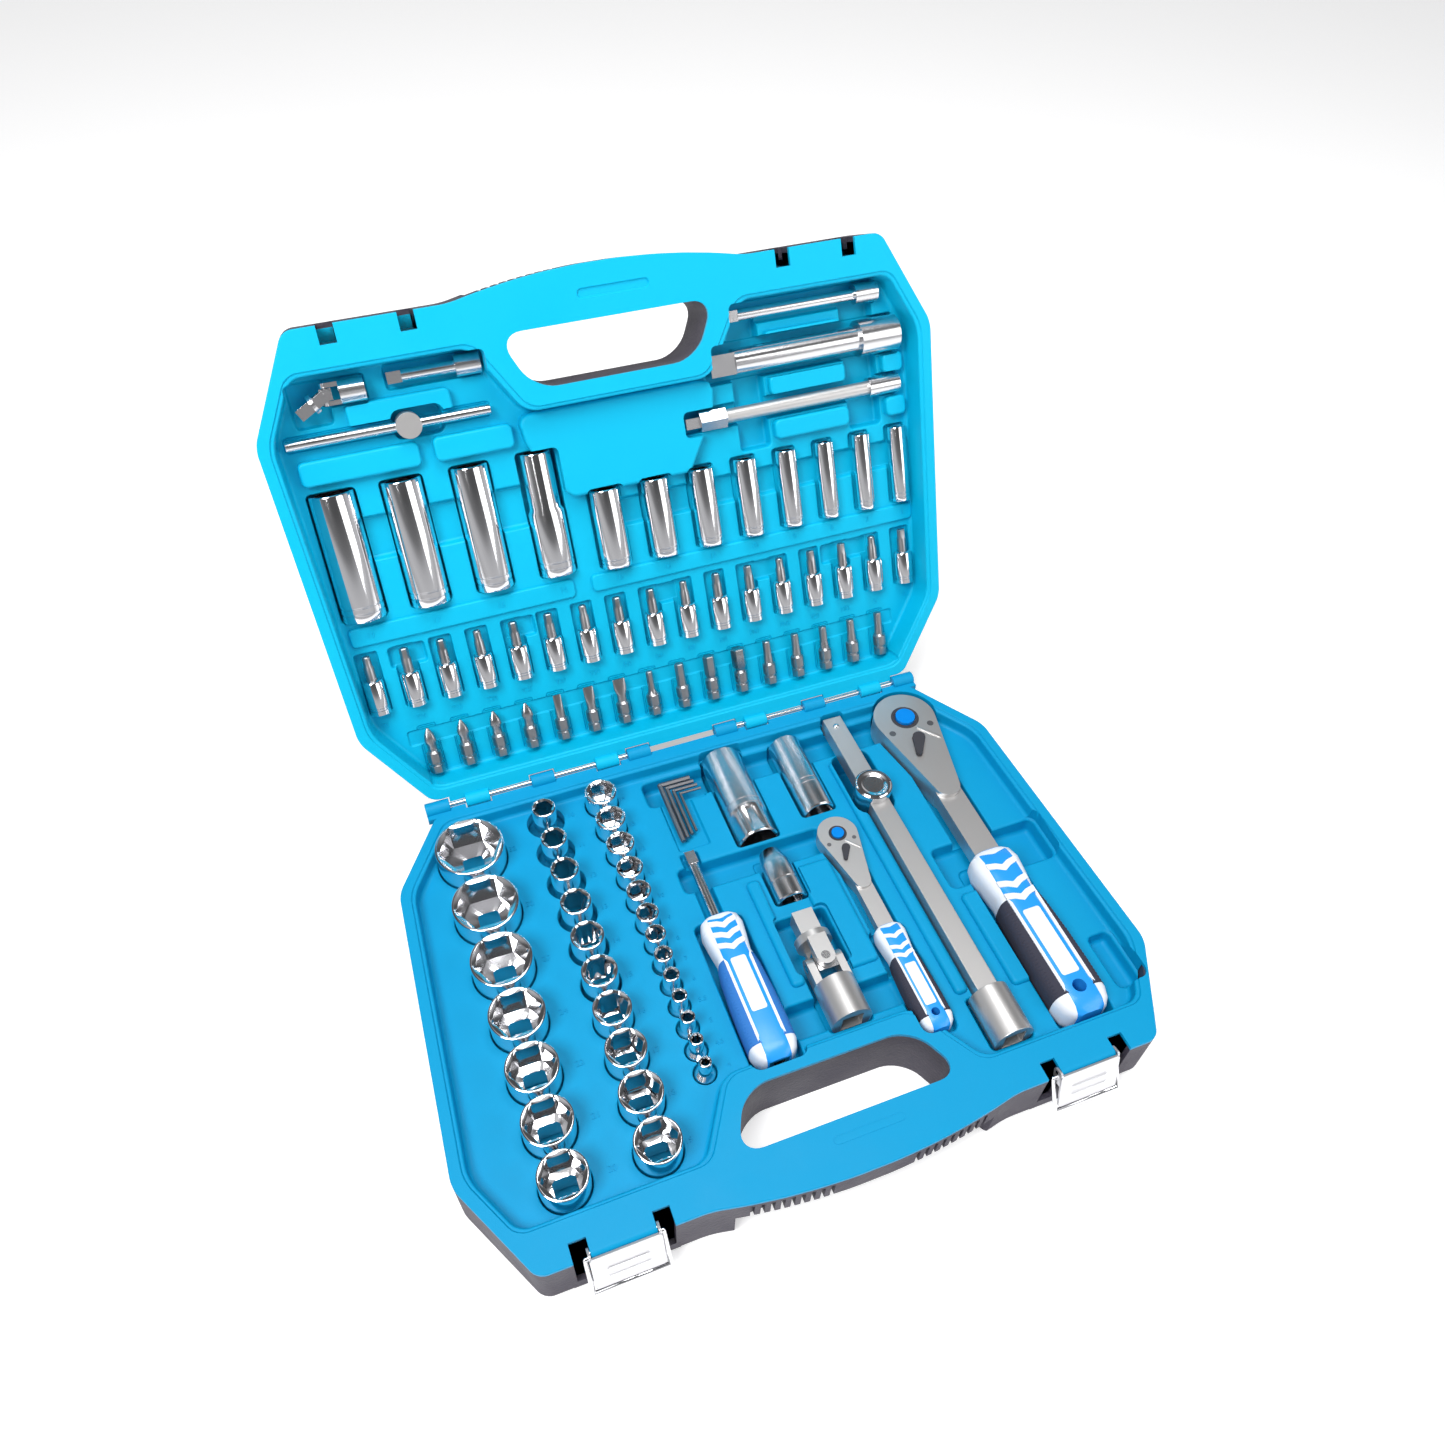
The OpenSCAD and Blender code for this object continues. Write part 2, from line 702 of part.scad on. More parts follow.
module spinner_handle() {
    color("#1b8fe0") spinner_frame() difference() {
        translate([0, 0, -handle_t * spinner_k / 2]) linear_extrude(handle_t * spinner_k)
            difference() {
                scale(spinner_k) handle_outline(handle_l);
                scale(spinner_k) grip_bands(handle_l);
            }
        along_s(0, -1, 0) cylinder(h = 1 + 0.6 * spinner_l + running_gap, r = shank_r + running_gap);
        slot_box(0, spinner_l - 12 - running_gap, 12 + 2 * running_gap, 20,
                 -6 - running_gap, 6 + running_gap);
    }
}

module spinner_grip() {
    color("#0f7fd0") spinner_frame() translate([0, 0, -handle_t * spinner_k / 2])
        linear_extrude(handle_t * spinner_k) intersection() {
            scale(spinner_k) handle_outline(handle_l);
            scale(spinner_k) grip_bands(handle_l);
        }
}

key_sizes = [3, 2.5, 2, 1.5];
key_x = spinner_x;
key_s = at_s(0.071);
key_z = -7.5;
key_step = 3.4;
key_long = 46;
key_short = 20;

module hex_keys() {
    color(chrome) base_frame() for (i = [0 : len(key_sizes) - 1])
        translate([key_x + i * key_step, key_s + i * key_step, key_z]) {
            r = key_sizes[i] / 2 / cos(30);
            along_s(0, 0, 0) cylinder(h = key_long - i * 5, r = r, $fn = 6);
            along_x(0, 0, 0) cylinder(h = key_short - i * 2, r = r, $fn = 6);
            sphere(r);
        }
}

module spinner_pocket(grow, top) {
    gap = pocket_gap + grow;
    tip = spinner_start - spinner_shank_l;
    slot_box(spinner_x, spinner_start - gap, 33 * spinner_k + 2 * gap, spinner_l + 2 * gap,
             spinner_z - handle_t * spinner_k / 2 - gap, top);
    slot_box(spinner_x, tip - gap, 8 + 2 * gap, spinner_shank_l + gap, spinner_z - 4 - gap, top);
    keys_w = key_step * 3 + 3;
    slot_box(key_x + key_step * 1.5, key_s - 2 - gap, keys_w + 2 * gap, tip - key_s + 2 + gap,
             key_z - 2 - gap, top);
    slot_box(key_x + key_short / 2, key_s - 2 - gap, key_short + 5 + 2 * gap, keys_w + 3 + 2 * gap,
             key_z - 2 - gap, top);
}

// ---------------------------------------------------------------- slide bar

bar_x = at_x(0.505);
bar_s = at_s(0.0285);
bar_z = -8;
bar_w = 13;
bar_t = 11;
slide_r = 12;
slide_h = 20;
slide_from_end = 64;
slide_travel = 25;
bar_end_l = 30;
bar_end_r = 12;

module slide_bar() {
    color(satin) base_frame() difference() {
        union() {
            slot_box(bar_x, bar_s, bar_w, slide_bar_l - bar_end_l + 1, bar_z - bar_t / 2, bar_z + bar_t / 2);
            along_s(bar_x, bar_s + slide_bar_l - bar_end_l, bar_z) cylinder(h = bar_end_l, r = bar_end_r);
        }
        slot_box(bar_x, bar_s + slide_bar_l - 16, half_sq, 17, bar_z - half_sq / 2, bar_z + half_sq / 2);
    }
}

module slide_head() {
    color(chrome) base_frame() translate([bar_x, bar_s + slide_from_end, bar_z]) difference() {
        union() {
            translate([0, 0, -slide_h / 2]) cylinder(h = slide_h, r = slide_r);
            slot_box(0, -half_sq / 2, half_sq, half_sq, -slide_h / 2 - 14, 0);
        }
        slot_box(0, -20, bar_w + 2 * running_gap, 40, -bar_t / 2 - running_gap, bar_t / 2 + running_gap);
    }
}

module slide_pocket(grow, top) {
    gap = pocket_gap + grow;
    head_s = bar_s + slide_from_end;
    slot_box(bar_x, bar_s - gap, bar_w + 2 * gap, slide_bar_l, bar_z - bar_t / 2 - gap, top);
    slot_box(bar_x, bar_s + slide_bar_l - bar_end_l - gap, 2 * (bar_end_r + gap), bar_end_l + 2 * gap,
             bar_z - bar_end_r - gap, top);
    slot_box(bar_x, head_s - slide_travel - slide_r - gap, 2 * (slide_r + gap),
             slide_travel + 2 * (slide_r + gap), bar_z - slide_h / 2 - 14 - gap, top);
}

// ---------------------------------------------------------------- universal joints

joint_x = at_x(0.114);
joint_s = at_s(0.617);
joint_z = -8;
joint_quarter_x = at_x(-0.79);
joint_quarter_s = at_s(0.873);
joint_quarter_z = -15;
joint_quarter_k = 0.55;
joint_quarter_bend = 28;
yoke_r = 11;
ear_in = 6.5;
pin_r = 2.6;
joint_pocket_yaw = 12;

// The pin's middle is the origin, and the socket lies towards +y
module joint_socket(k, sq) {
    difference() {
        union() {
            along_s(0, 13 * k, 0) cylinder(h = 25 * k, r = 12.2 * k);
            for (side = [0, 1]) mirror([side, 0, 0]) {
                along_x(ear_in * k, 0, 0) cylinder(h = (yoke_r - ear_in) * k, r = 5.5 * k);
                translate([ear_in * k, 0, -5.5 * k]) cube([(yoke_r - ear_in) * k, 14 * k, 11 * k]);
            }
        }
        slot_box(0, 38 * k - sq * 1.2, sq, sq * 1.2 + 1, -sq / 2, sq / 2);
        along_x(-20 * k, 0, 0) cylinder(h = 40 * k, r = pin_r * k + running_gap);
    }
}

module joint_driver(k, sq) {
    difference() {
        union() {
            along_s(0, -18 * k, 0) cylinder(h = 5 * k, r = yoke_r * k);
            slot_box(0, -34 * k, sq, 17 * k, -sq / 2, sq / 2);
            for (side = [0, 1]) mirror([0, 0, side]) {
                translate([0, 0, ear_in * k]) cylinder(h = (yoke_r - ear_in) * k, r = 5.5 * k);
                translate([-5.5 * k, -14 * k, ear_in * k]) cube([11 * k, 14 * k, (yoke_r - ear_in) * k]);
            }
        }
        translate([0, 0, -20 * k]) cylinder(h = 40 * k, r = pin_r * k + running_gap);
    }
}

module joint_cross(k) {
    core = 2 * ear_in * k - 2 * slip_gap;
    cube([core, core, core], center = true);
    along_x(-yoke_r * k, 0, 0) cylinder(h = 2 * yoke_r * k, r = pin_r * k);
    translate([0, 0, -yoke_r * k]) cylinder(h = 2 * yoke_r * k, r = pin_r * k);
}

module joint_half_frame() { base_frame() translate([joint_x, joint_s, joint_z]) children(); }
module joint_quarter_frame() {
    lid_frame() translate([joint_quarter_x, joint_quarter_s, joint_quarter_z]) rotate([0, 0, -90]) children();
}
module joint_half_socket() { color(satin) joint_half_frame() joint_socket(1, half_sq); }
module joint_half_driver() { color(satin) joint_half_frame() joint_driver(1, half_sq); }
module joint_half_cross() { color(chrome) joint_half_frame() joint_cross(1); }
module joint_quarter_socket() {
    color(chrome) joint_quarter_frame() joint_socket(joint_quarter_k, quarter_sq);
}
module joint_quarter_driver() {
    color(chrome) joint_quarter_frame() rotate([0, 0, joint_quarter_bend])
        joint_driver(joint_quarter_k, quarter_sq);
}
module joint_quarter_cross() {
    color(chrome) joint_quarter_frame() joint_cross(joint_quarter_k);
}

module joint_half_pocket(grow, top) {
    gap = pocket_gap + grow;
    sweep = 34 * sin(joint_pocket_yaw) + half_sq / 2 + 1.5;
    floor_z = joint_z - 13 - gap;
    slot_box(joint_x, joint_s - 35 - gap, 2 * (sweep + gap), 35 + gap, floor_z, top);
    slot_box(joint_x, joint_s - 2 - gap, 2 * (12.2 + gap), 40 + 2 * gap, floor_z, top);
}

module joint_quarter_pocket(grow, top) {
    k = joint_quarter_k;
    gap = pocket_gap + grow;
    floor_z = joint_quarter_z - 13 * k - gap;
    translate([joint_quarter_x - 35 * k - gap, joint_quarter_s - 29 * k - gap, floor_z])
        cube([35 * k + 2 * gap, 42 * k + 2 * gap, top - floor_z]);
    translate([joint_quarter_x - gap, joint_quarter_s - 12.2 * k - gap, floor_z])
        cube([38 * k + 2 * gap, 24.4 * k + 2 * gap, top - floor_z]);
}

// ---------------------------------------------------------------- lying tools in the base

spark_z = -12;
spark_21_x = at_x(0.104);
spark_16_x = at_x(0.323);
spark_21_s = at_s(0.034);
spark_16_s = at_s(0.044);
spark_21_l = 70;
spark_16_l = 60;
spark_21_r = 13.5;
spark_16_r = 11;
spark_web = 12;
adapter_x = at_x(0.116);
adapter_s = at_s(0.317);
adapter_l = 38;
adapter_r = 10;

module spark_socket(x, s, l, r, size) {
    color(chrome) base_frame() along_s(x, s, spark_z) difference() {
        cylinder(h = l, r = r);
        translate([0, 0, spark_web]) cylinder(h = l, r = size / 2 / cos(30), $fn = 6);
        translate([-5, -5, -1]) cube([10, 10, spark_web + 2]);
    }
}

module spark_insert(x, s, l, size) {
    color("#222228") base_frame() along_s(x, s + spark_web, spark_z) difference() {
        cylinder(h = 0.45 * l, r = size / 2 - 0.05);
        translate([0, 0, 4]) cylinder(h = l, r = 0.3 * size);
    }
}

module spark_socket_21() { spark_socket(spark_21_x, spark_21_s, spark_21_l, spark_21_r, 21); }
module spark_socket_16() { spark_socket(spark_16_x, spark_16_s, spark_16_l, spark_16_r, 16); }
module spark_insert_21() { spark_insert(spark_21_x, spark_21_s, spark_21_l, 21); }
module spark_insert_16() { spark_insert(spark_16_x, spark_16_s, spark_16_l, 16); }

module bit_adapter() {
    color(chrome) base_frame() along_s(adapter_x, adapter_s, spark_z) difference() {
        union() {
            cylinder(h = 0.3 * adapter_l, r1 = 0.6 * adapter_r, r2 = adapter_r);
            translate([0, 0, 0.3 * adapter_l]) cylinder(h = 0.7 * adapter_l, r = adapter_r);
        }
        translate([0, 0, -1]) cylinder(h = 14, r = 4.7, $fn = 6);
        translate([-6.35, -6.35, adapter_l - 15]) cube([half_sq, half_sq, 16]);
    }
}

module lying_pocket(x, s, l, r, z, grow, top) {
    gap = pocket_gap + grow;
    slot_box(x, s - gap, 2 * (r + gap), l + 2 * gap, z - r - gap, top);
}

// Every pocket of lying tools in the base; grow adds the pocket walls
module base_lying_pockets(grow, top) {
    ratchet_pocket(half_ratchet_x, half_ratchet_s, 1, half_reach, half_sq_l, grow, top);
    ratchet_pocket(quarter_ratchet_x, quarter_ratchet_s, quarter_k, quarter_reach, quarter_sq_l, grow, top);
    spinner_pocket(grow, top);
    slide_pocket(grow, top);
    joint_half_pocket(grow, top);
    lying_pocket(spark_21_x, spark_21_s, spark_21_l, spark_21_r, spark_z, grow, top);
    lying_pocket(spark_16_x, spark_16_s, spark_16_l, spark_16_r, spark_z, grow, top);
    lying_pocket(adapter_x, adapter_s, adapter_l, adapter_r, spark_z, grow, top);
}

half_floor = half_stand - half_socket_l - pocket_gap;
quarter_floor = quarter_stand - quarter_socket_l - pocket_gap;

module base_blocks() {
    inside_shell() {
        column_block(large_x, large_s, large_d, half_floor);
        column_block(medium_x, medium_s, medium_d, half_floor);
        column_block(small_x, small_s, small_d, quarter_floor);
        base_lying_pockets(tray_wall, -base_recess);
    }
}

module base_voids() {
    column_voids(large_x, large_s, large_d, half_floor);
    column_voids(medium_x, medium_s, medium_d, half_floor);
    column_voids(small_x, small_s, small_d, quarter_floor);
    base_lying_pockets(0, 1);
}

// ---------------------------------------------------------------- lid tools

deep_half_sizes = [19, 17, 15, 14];
deep_quarter_sizes = [13, 12, 11, 10, 9, 8, 7, 6];
deep_half_r = [for (size = deep_half_sizes) max(half_od(size), half_ring_d) / 2];
deep_quarter_d = [for (size = deep_quarter_sizes) max(quarter_od(size), quarter_ring_d)];
deep_half_x = [for (i = [0 : 3]) even(at_x(-0.85), at_x(-0.265), 4, i)];
deep_quarter_x = spread(deep_quarter_d, at_x(-0.085), at_x(0.893));
deep_half_s = at_s(0.418);
deep_quarter_s = at_s(0.409);
deep_half_z = -21.5;
lid_tool_z = -17;
bit_count = 17;
bit_x = [for (i = [0 : bit_count - 1]) even(at_x(-0.881), at_x(0.881), bit_count, i)];
bit_s = at_s(0.208);
bit_socket_r = 6;
driver_count = 16;
driver_x = [for (i = [0 : driver_count - 1]) even(at_x(-0.765), at_x(0.765), driver_count, i)];
driver_s = at_s(0.043);
driver_r = 4.6;
driver_z = -16;

module lying_socket(size, r, l, sq) {
    difference() {
        cylinder(h = l, r = r);
        translate([0, 0, 0.4 * l]) cylinder(h = l, r = size / 2 / cos(30), $fn = 6);
        translate([-sq / 2, -sq / 2, -1]) cube([sq, sq, 0.4 * l + 1 + eps]);
    }
}

module deep_sockets_half() {
    color(chrome) lid_frame() for (i = [0 : len(deep_half_sizes) - 1])
        along_s(deep_half_x[i], deep_half_s, deep_half_z)
            lying_socket(deep_half_sizes[i], deep_half_r[i], deep_half_l, half_sq);
}

module deep_sockets_quarter() {
    color(chrome) lid_frame() for (i = [0 : len(deep_quarter_sizes) - 1])
        along_s(deep_quarter_x[i], deep_quarter_s, lid_tool_z)
            lying_socket(deep_quarter_sizes[i], deep_quarter_d[i] / 2, deep_quarter_l, quarter_sq);
}

module bit_sockets() {
    color(chrome) lid_frame() for (x = bit_x) along_s(x, bit_s, lid_tool_z) difference() {
        cylinder(h = bit_socket_l, r = bit_socket_r);
        translate([-quarter_sq / 2, -quarter_sq / 2, -1]) cube([quarter_sq, quarter_sq, 11]);
        translate([0, 0, 12]) cylinder(h = bit_socket_l, r = 3.2);
    }
}

module bit_socket_tips() {
    color(satin) lid_frame() for (x = bit_x) along_s(x, bit_s, lid_tool_z) {
        translate([0, 0, 12]) cylinder(h = bit_socket_l - 12 + 0.55 * bit_tip_l, r = 3.1);
        translate([0, 0, bit_socket_l + 0.55 * bit_tip_l - eps])
            cylinder(h = 0.45 * bit_tip_l, r1 = 3.1, r2 = 1.2);
    }
}

module driver_bits() {
    color(satin) lid_frame() for (x = driver_x) along_s(x, driver_s, driver_z) {
        cylinder(h = 0.62 * driver_bit_l, r = driver_r, $fn = 6);
        cylinder(h = 0.85 * driver_bit_l, r = 3.4);
        translate([0, 0, 0.85 * driver_bit_l - eps]) cylinder(h = 0.15 * driver_bit_l, r1 = 3.4, r2 = 1.6);
    }
}

extension_short_x = at_x(-0.624);
extension_long_x = at_x(0.365);
extension_half_x = at_x(0.294);
flex_x = at_x(0.197);
top_row_s = at_s(0.882);
second_row_s = at_s(0.789);
third_row_s = at_s(0.68);
small_end_r = 6;
half_end_r = 11;
half_shank_r = 7.8;
flex_cable_r = 4.2;
flex_male_l = 26;
flex_female_l = 21;

// A bar with a square at its first end and a socket end at its last
module extension(l, sq, sq_l, shank, end_r, end_l) {
    difference() {
        union() {
            translate([-sq / 2, -sq / 2, 0]) cube([sq, sq, sq_l + eps]);
            translate([0, 0, sq_l]) cylinder(h = l - sq_l - end_l + eps, r = shank);
            translate([0, 0, l - end_l]) cylinder(h = end_l, r = end_r);
        }
        translate([-sq / 2, -sq / 2, l - 1.2 * sq]) cube([sq, sq, 1.2 * sq + 1]);
    }
}

module extension_short() {
    color(chrome) lid_frame() along_x(extension_short_x, top_row_s, lid_tool_z)
        extension(extension_short_l, quarter_sq, 8, 3.5, small_end_r, 14);
}
module extension_long() {
    color(chrome) lid_frame() along_x(extension_long_x, top_row_s, lid_tool_z)
        extension(extension_long_l, quarter_sq, 8, 3.5, small_end_r, 15);
}
module extension_half() {
    color(chrome) lid_frame() along_x(extension_half_x, second_row_s, lid_tool_z)
        extension(extension_half_l, half_sq, 16, half_shank_r, half_end_r, 26);
}
module flex_ends() {
    color(chrome) lid_frame() along_x(flex_x, third_row_s, lid_tool_z) {
        translate([-quarter_sq / 2, -quarter_sq / 2, 0]) cube([quarter_sq, quarter_sq, 9]);
        translate([0, 0, 9 - eps]) cylinder(h = flex_male_l - 9, r = 6.8, $fn = 6);
        translate([0, 0, flex_l - flex_female_l]) difference() {
            cylinder(h = flex_female_l, r = small_end_r);
            translate([-quarter_sq / 2, -quarter_sq / 2, flex_female_l - 8])
                cube([quarter_sq, quarter_sq, 9]);
        }
    }
}
module flex_cable() {
    color(satin) lid_frame() along_x(flex_x + flex_male_l, third_row_s, lid_tool_z)
        cylinder(h = flex_l - flex_male_l - flex_female_l, r = flex_cable_r);
}

tbar_x = at_x(-0.929);
tbar_z = -15;
tbar_r = 3;
tbar_head_x = 67;
tbar_head_r = 7.2;
tbar_travel = 12;

module tbar_rod() {
    color(chrome) lid_frame() along_x(tbar_x, second_row_s, tbar_z) cylinder(h = tbar_l, r = tbar_r);
}

module tbar_head() {
    color(satin) lid_frame() translate([tbar_x + tbar_head_x, second_row_s, tbar_z]) difference() {
        union() {
            translate([0, 0, -6.5]) cylinder(h = 12, r = tbar_head_r);
            slot_box(0, -quarter_sq / 2, quarter_sq, quarter_sq, -14.5, 0);
        }
        along_x(-20, 0, 0) cylinder(h = 40, r = tbar_r + running_gap);
    }
}

module across_pocket(x, s, l, r, z, grow, top) {
    gap = pocket_gap + grow;
    translate([x - gap, s - r - gap, z - r - gap]) cube([l + 2 * gap, 2 * (r + gap), top - z + r + gap]);
}

module lid_pockets(grow, top) {
    for (i = [0 : len(deep_half_sizes) - 1])
        lying_pocket(deep_half_x[i], deep_half_s, deep_half_l, deep_half_r[i], deep_half_z, grow, top);
    for (i = [0 : len(deep_quarter_sizes) - 1])
        lying_pocket(deep_quarter_x[i], deep_quarter_s, deep_quarter_l, deep_quarter_d[i] / 2,
                     lid_tool_z, grow, top);
    for (x = bit_x)
        lying_pocket(x, bit_s, bit_socket_l + bit_tip_l, bit_socket_r, lid_tool_z, grow, top);
    for (x = driver_x)
        lying_pocket(x, driver_s, driver_bit_l, driver_r, driver_z, grow, top);
    across_pocket(extension_short_x, top_row_s, extension_short_l, small_end_r, lid_tool_z, grow, top);
    across_pocket(extension_long_x, top_row_s, extension_long_l, small_end_r, lid_tool_z, grow, top);
    across_pocket(extension_half_x, second_row_s, extension_half_l, half_end_r, lid_tool_z, grow, top);
    across_pocket(flex_x, third_row_s, flex_l, 6.8, lid_tool_z, grow, top);
    across_pocket(tbar_x, second_row_s, tbar_l, tbar_r, tbar_z, grow, top);
    gap = pocket_gap + grow;
    reach = tbar_head_r + gap;
    floor_z = tbar_z - 14.5 - gap;
    translate([tbar_x + tbar_head_x - reach, second_row_s - reach, floor_z])
        cube([2 * reach + tbar_travel, 2 * reach, top - floor_z]);
    joint_quarter_pocket(grow, top);
}

module lid_blocks() { inside_shell() lid_pockets(tray_wall, -lid_recess); }
module lid_voids() { lid_pockets(0, 1); }

// ---------------------------------------------------------------- output

base_shell();
base_tray();
lid_shell();
lid_tray();
hinge_rods();
latch_pins();
latch_plate_left();
latch_plate_right();
latch_bail_left();
latch_bail_right();
sockets_large();
sockets_medium();
sockets_small();
half_ratchet_body();
half_ratchet_cover();
half_ratchet_screws();
half_ratchet_drive();
half_ratchet_button();
half_ratchet_lever();
half_ratchet_pawl();
half_ratchet_handle();
half_ratchet_grip();
quarter_ratchet_body();
quarter_ratchet_cover();
quarter_ratchet_screws();
quarter_ratchet_drive();
quarter_ratchet_button();
quarter_ratchet_lever();
quarter_ratchet_pawl();
quarter_ratchet_handle();
quarter_ratchet_grip();
spinner_shank();
spinner_handle();
spinner_grip();
hex_keys();
slide_bar();
slide_head();
joint_half_socket();
joint_half_cross();
joint_half_driver();
spark_socket_21();
spark_insert_21();
spark_socket_16();
spark_insert_16();
bit_adapter();
deep_sockets_half();
deep_sockets_quarter();
bit_sockets();
bit_socket_tips();
driver_bits();
extension_short();
extension_long();
extension_half();
flex_ends();
flex_cable();
tbar_rod();
tbar_head();
joint_quarter_socket();
joint_quarter_cross();
joint_quarter_driver();
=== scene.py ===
"""An open socket wrench case: moulded trays, chrome sockets, ratchets, bars and bits.

Every length in the classes is in millimetres. A half of the case has its own coordinates:
x along the hinge, s away from the hinge line, z out of the tray, with z = 0 at the rim.
"""

from __future__ import annotations

import json
import logging
import math
from dataclasses import dataclass, field
from enum import Enum
from typing import Iterable, Optional, Sequence

import bmesh
import bpy
from mathutils import Matrix, Vector


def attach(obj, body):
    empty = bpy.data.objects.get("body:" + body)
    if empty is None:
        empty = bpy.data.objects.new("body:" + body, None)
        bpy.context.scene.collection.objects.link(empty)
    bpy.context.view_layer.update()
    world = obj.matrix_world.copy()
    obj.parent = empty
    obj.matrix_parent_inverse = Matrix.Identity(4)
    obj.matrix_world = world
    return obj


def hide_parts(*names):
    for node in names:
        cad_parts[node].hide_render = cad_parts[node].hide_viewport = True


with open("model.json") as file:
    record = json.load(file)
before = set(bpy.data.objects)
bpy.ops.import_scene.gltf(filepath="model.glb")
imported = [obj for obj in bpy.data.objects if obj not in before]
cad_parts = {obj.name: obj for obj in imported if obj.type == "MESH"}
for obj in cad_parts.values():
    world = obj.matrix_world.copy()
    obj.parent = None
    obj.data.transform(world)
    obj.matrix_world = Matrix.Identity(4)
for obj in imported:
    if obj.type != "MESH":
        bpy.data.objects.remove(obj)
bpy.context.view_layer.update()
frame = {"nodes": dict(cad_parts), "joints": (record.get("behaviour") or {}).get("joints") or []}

logging.basicConfig(level=logging.INFO, format="%(message)s")
log = logging.getLogger("case")

MM = 0.001
ROUND_STEPS = 48
SMALL_STEPS = 24
Point = tuple[float, float]


# ---------------------------------------------------------------- the two halves


@dataclass(frozen=True)
class Half:
    """One half of the case: how its own coordinates lie in the row frame.

    Args:
        name: "base" or "lid".
        body: the CAD body that its pieces ride on.
        to_row: the matrix from the half's millimetres to the row frame's metres.
    """

    name: str
    body: str
    to_row: Matrix

    def box(self, node: str) -> tuple[Vector, Vector]:
        """Gives a node's lowest and highest corners in the half's coordinates."""
        return span(self.points(node))

    def points(self, node: str) -> list[Vector]:
        """Gives a node's vertices in the half's coordinates."""
        back = self.to_row.inverted()
        return [back @ v.co for v in frame["nodes"][node].data.vertices]

    def solids(self, node: str) -> list[tuple[Vector, Vector]]:
        """Gives the box of each separate solid of a node, in order of x and then s."""
        copy = bmesh.new()
        copy.from_mesh(frame["nodes"][node].data)
        bmesh.ops.transform(copy, matrix=self.to_row.inverted(), verts=copy.verts)
        bmesh.ops.remove_doubles(copy, verts=copy.verts, dist=0.001)
        left = set(copy.verts)
        boxes = []
        while left:
            reached = [left.pop()]
            for vert in reached:
                for edge in vert.link_edges:
                    other = edge.other_vert(vert)
                    if other in left:
                        left.remove(other)
                        reached.append(other)
            boxes.append(span([v.co for v in reached]))
        copy.free()
        return sorted(boxes, key=lambda b: (round((b[0].x + b[1].x) / 8), b[0].y))


def span(points: Iterable[Vector]) -> tuple[Vector, Vector]:
    """Gives the lowest and highest corners of some points."""
    xs, ys, zs = zip(*points)
    return Vector((min(xs), min(ys), min(zs))), Vector((max(xs), max(ys), max(zs)))


def find_halves() -> tuple[Half, Half]:
    """Works out the base's and the lid's coordinates from the lid's hinge.

    Returns:
        The base half and the lid half.
    """
    hinge = next(j for j in frame["joints"] if j["name"] == "lid_hinge")
    place = Matrix.Translation(hinge["pos_m"]) @ Matrix.Scale(MM, 4)
    tilt = Matrix.Rotation(math.pi + math.radians(hinge["range_deg"][0]), 4, "X")
    flip = Matrix.Scale(-1, 4, Vector((0, 1, 0)))
    return Half("base", "case_base", place @ flip), Half("lid", "case_lid", place @ tilt)


BASE, LID = find_halves()


# ---------------------------------------------------------------- mesh tools


def ring_radius(angle: float, radius: float, sides: int, corner: float) -> float:
    """Gives a section's reach at an angle.

    Args:
        angle: the direction from the middle, in radians.
        radius: a round section's radius, or half the distance across flats.
        sides: 0 for a round section, 6 for a hexagon, 4 for a square.
        corner: the largest reach, which rounds a polygon's corners; 0 leaves them sharp.

    Returns:
        The distance from the middle.
    """
    if not sides:
        return radius
    part = 2 * math.pi / sides
    turn = part / 2 if sides == 4 else 0.0
    reach = radius / math.cos(((angle + turn) % part) - part / 2)
    return min(reach, corner) if corner else reach


@dataclass(frozen=True)
class Section:
    """One ring of a turned, milled or moulded piece: its height, size and outline.

    Args:
        z: where it lies on the axis.
        radius: its radius, or half its width.
        sides: 0 for a round ring, 4 or 6 for a square or a hexagon.
        corner: the largest reach of a polygon's corner.
        tall: half its height when that differs from its width.
        power: how square an oval ring is; 2 is a true oval.
    """

    z: float
    radius: float
    sides: int = 0
    corner: float = 0.0
    tall: float = 0.0
    power: float = 2.0

    def point(self, angle: float) -> tuple[float, float, float]:
        """Gives the ring's point at an angle."""
        c, s = math.cos(angle), math.sin(angle)
        if self.tall:
            bend = 2 / self.power
            return (math.copysign(self.radius * abs(c) ** bend, c),
                    math.copysign(self.tall * abs(s) ** bend, s), self.z)
        reach = ring_radius(angle, self.radius, self.sides, self.corner)
        return reach * c, reach * s, self.z


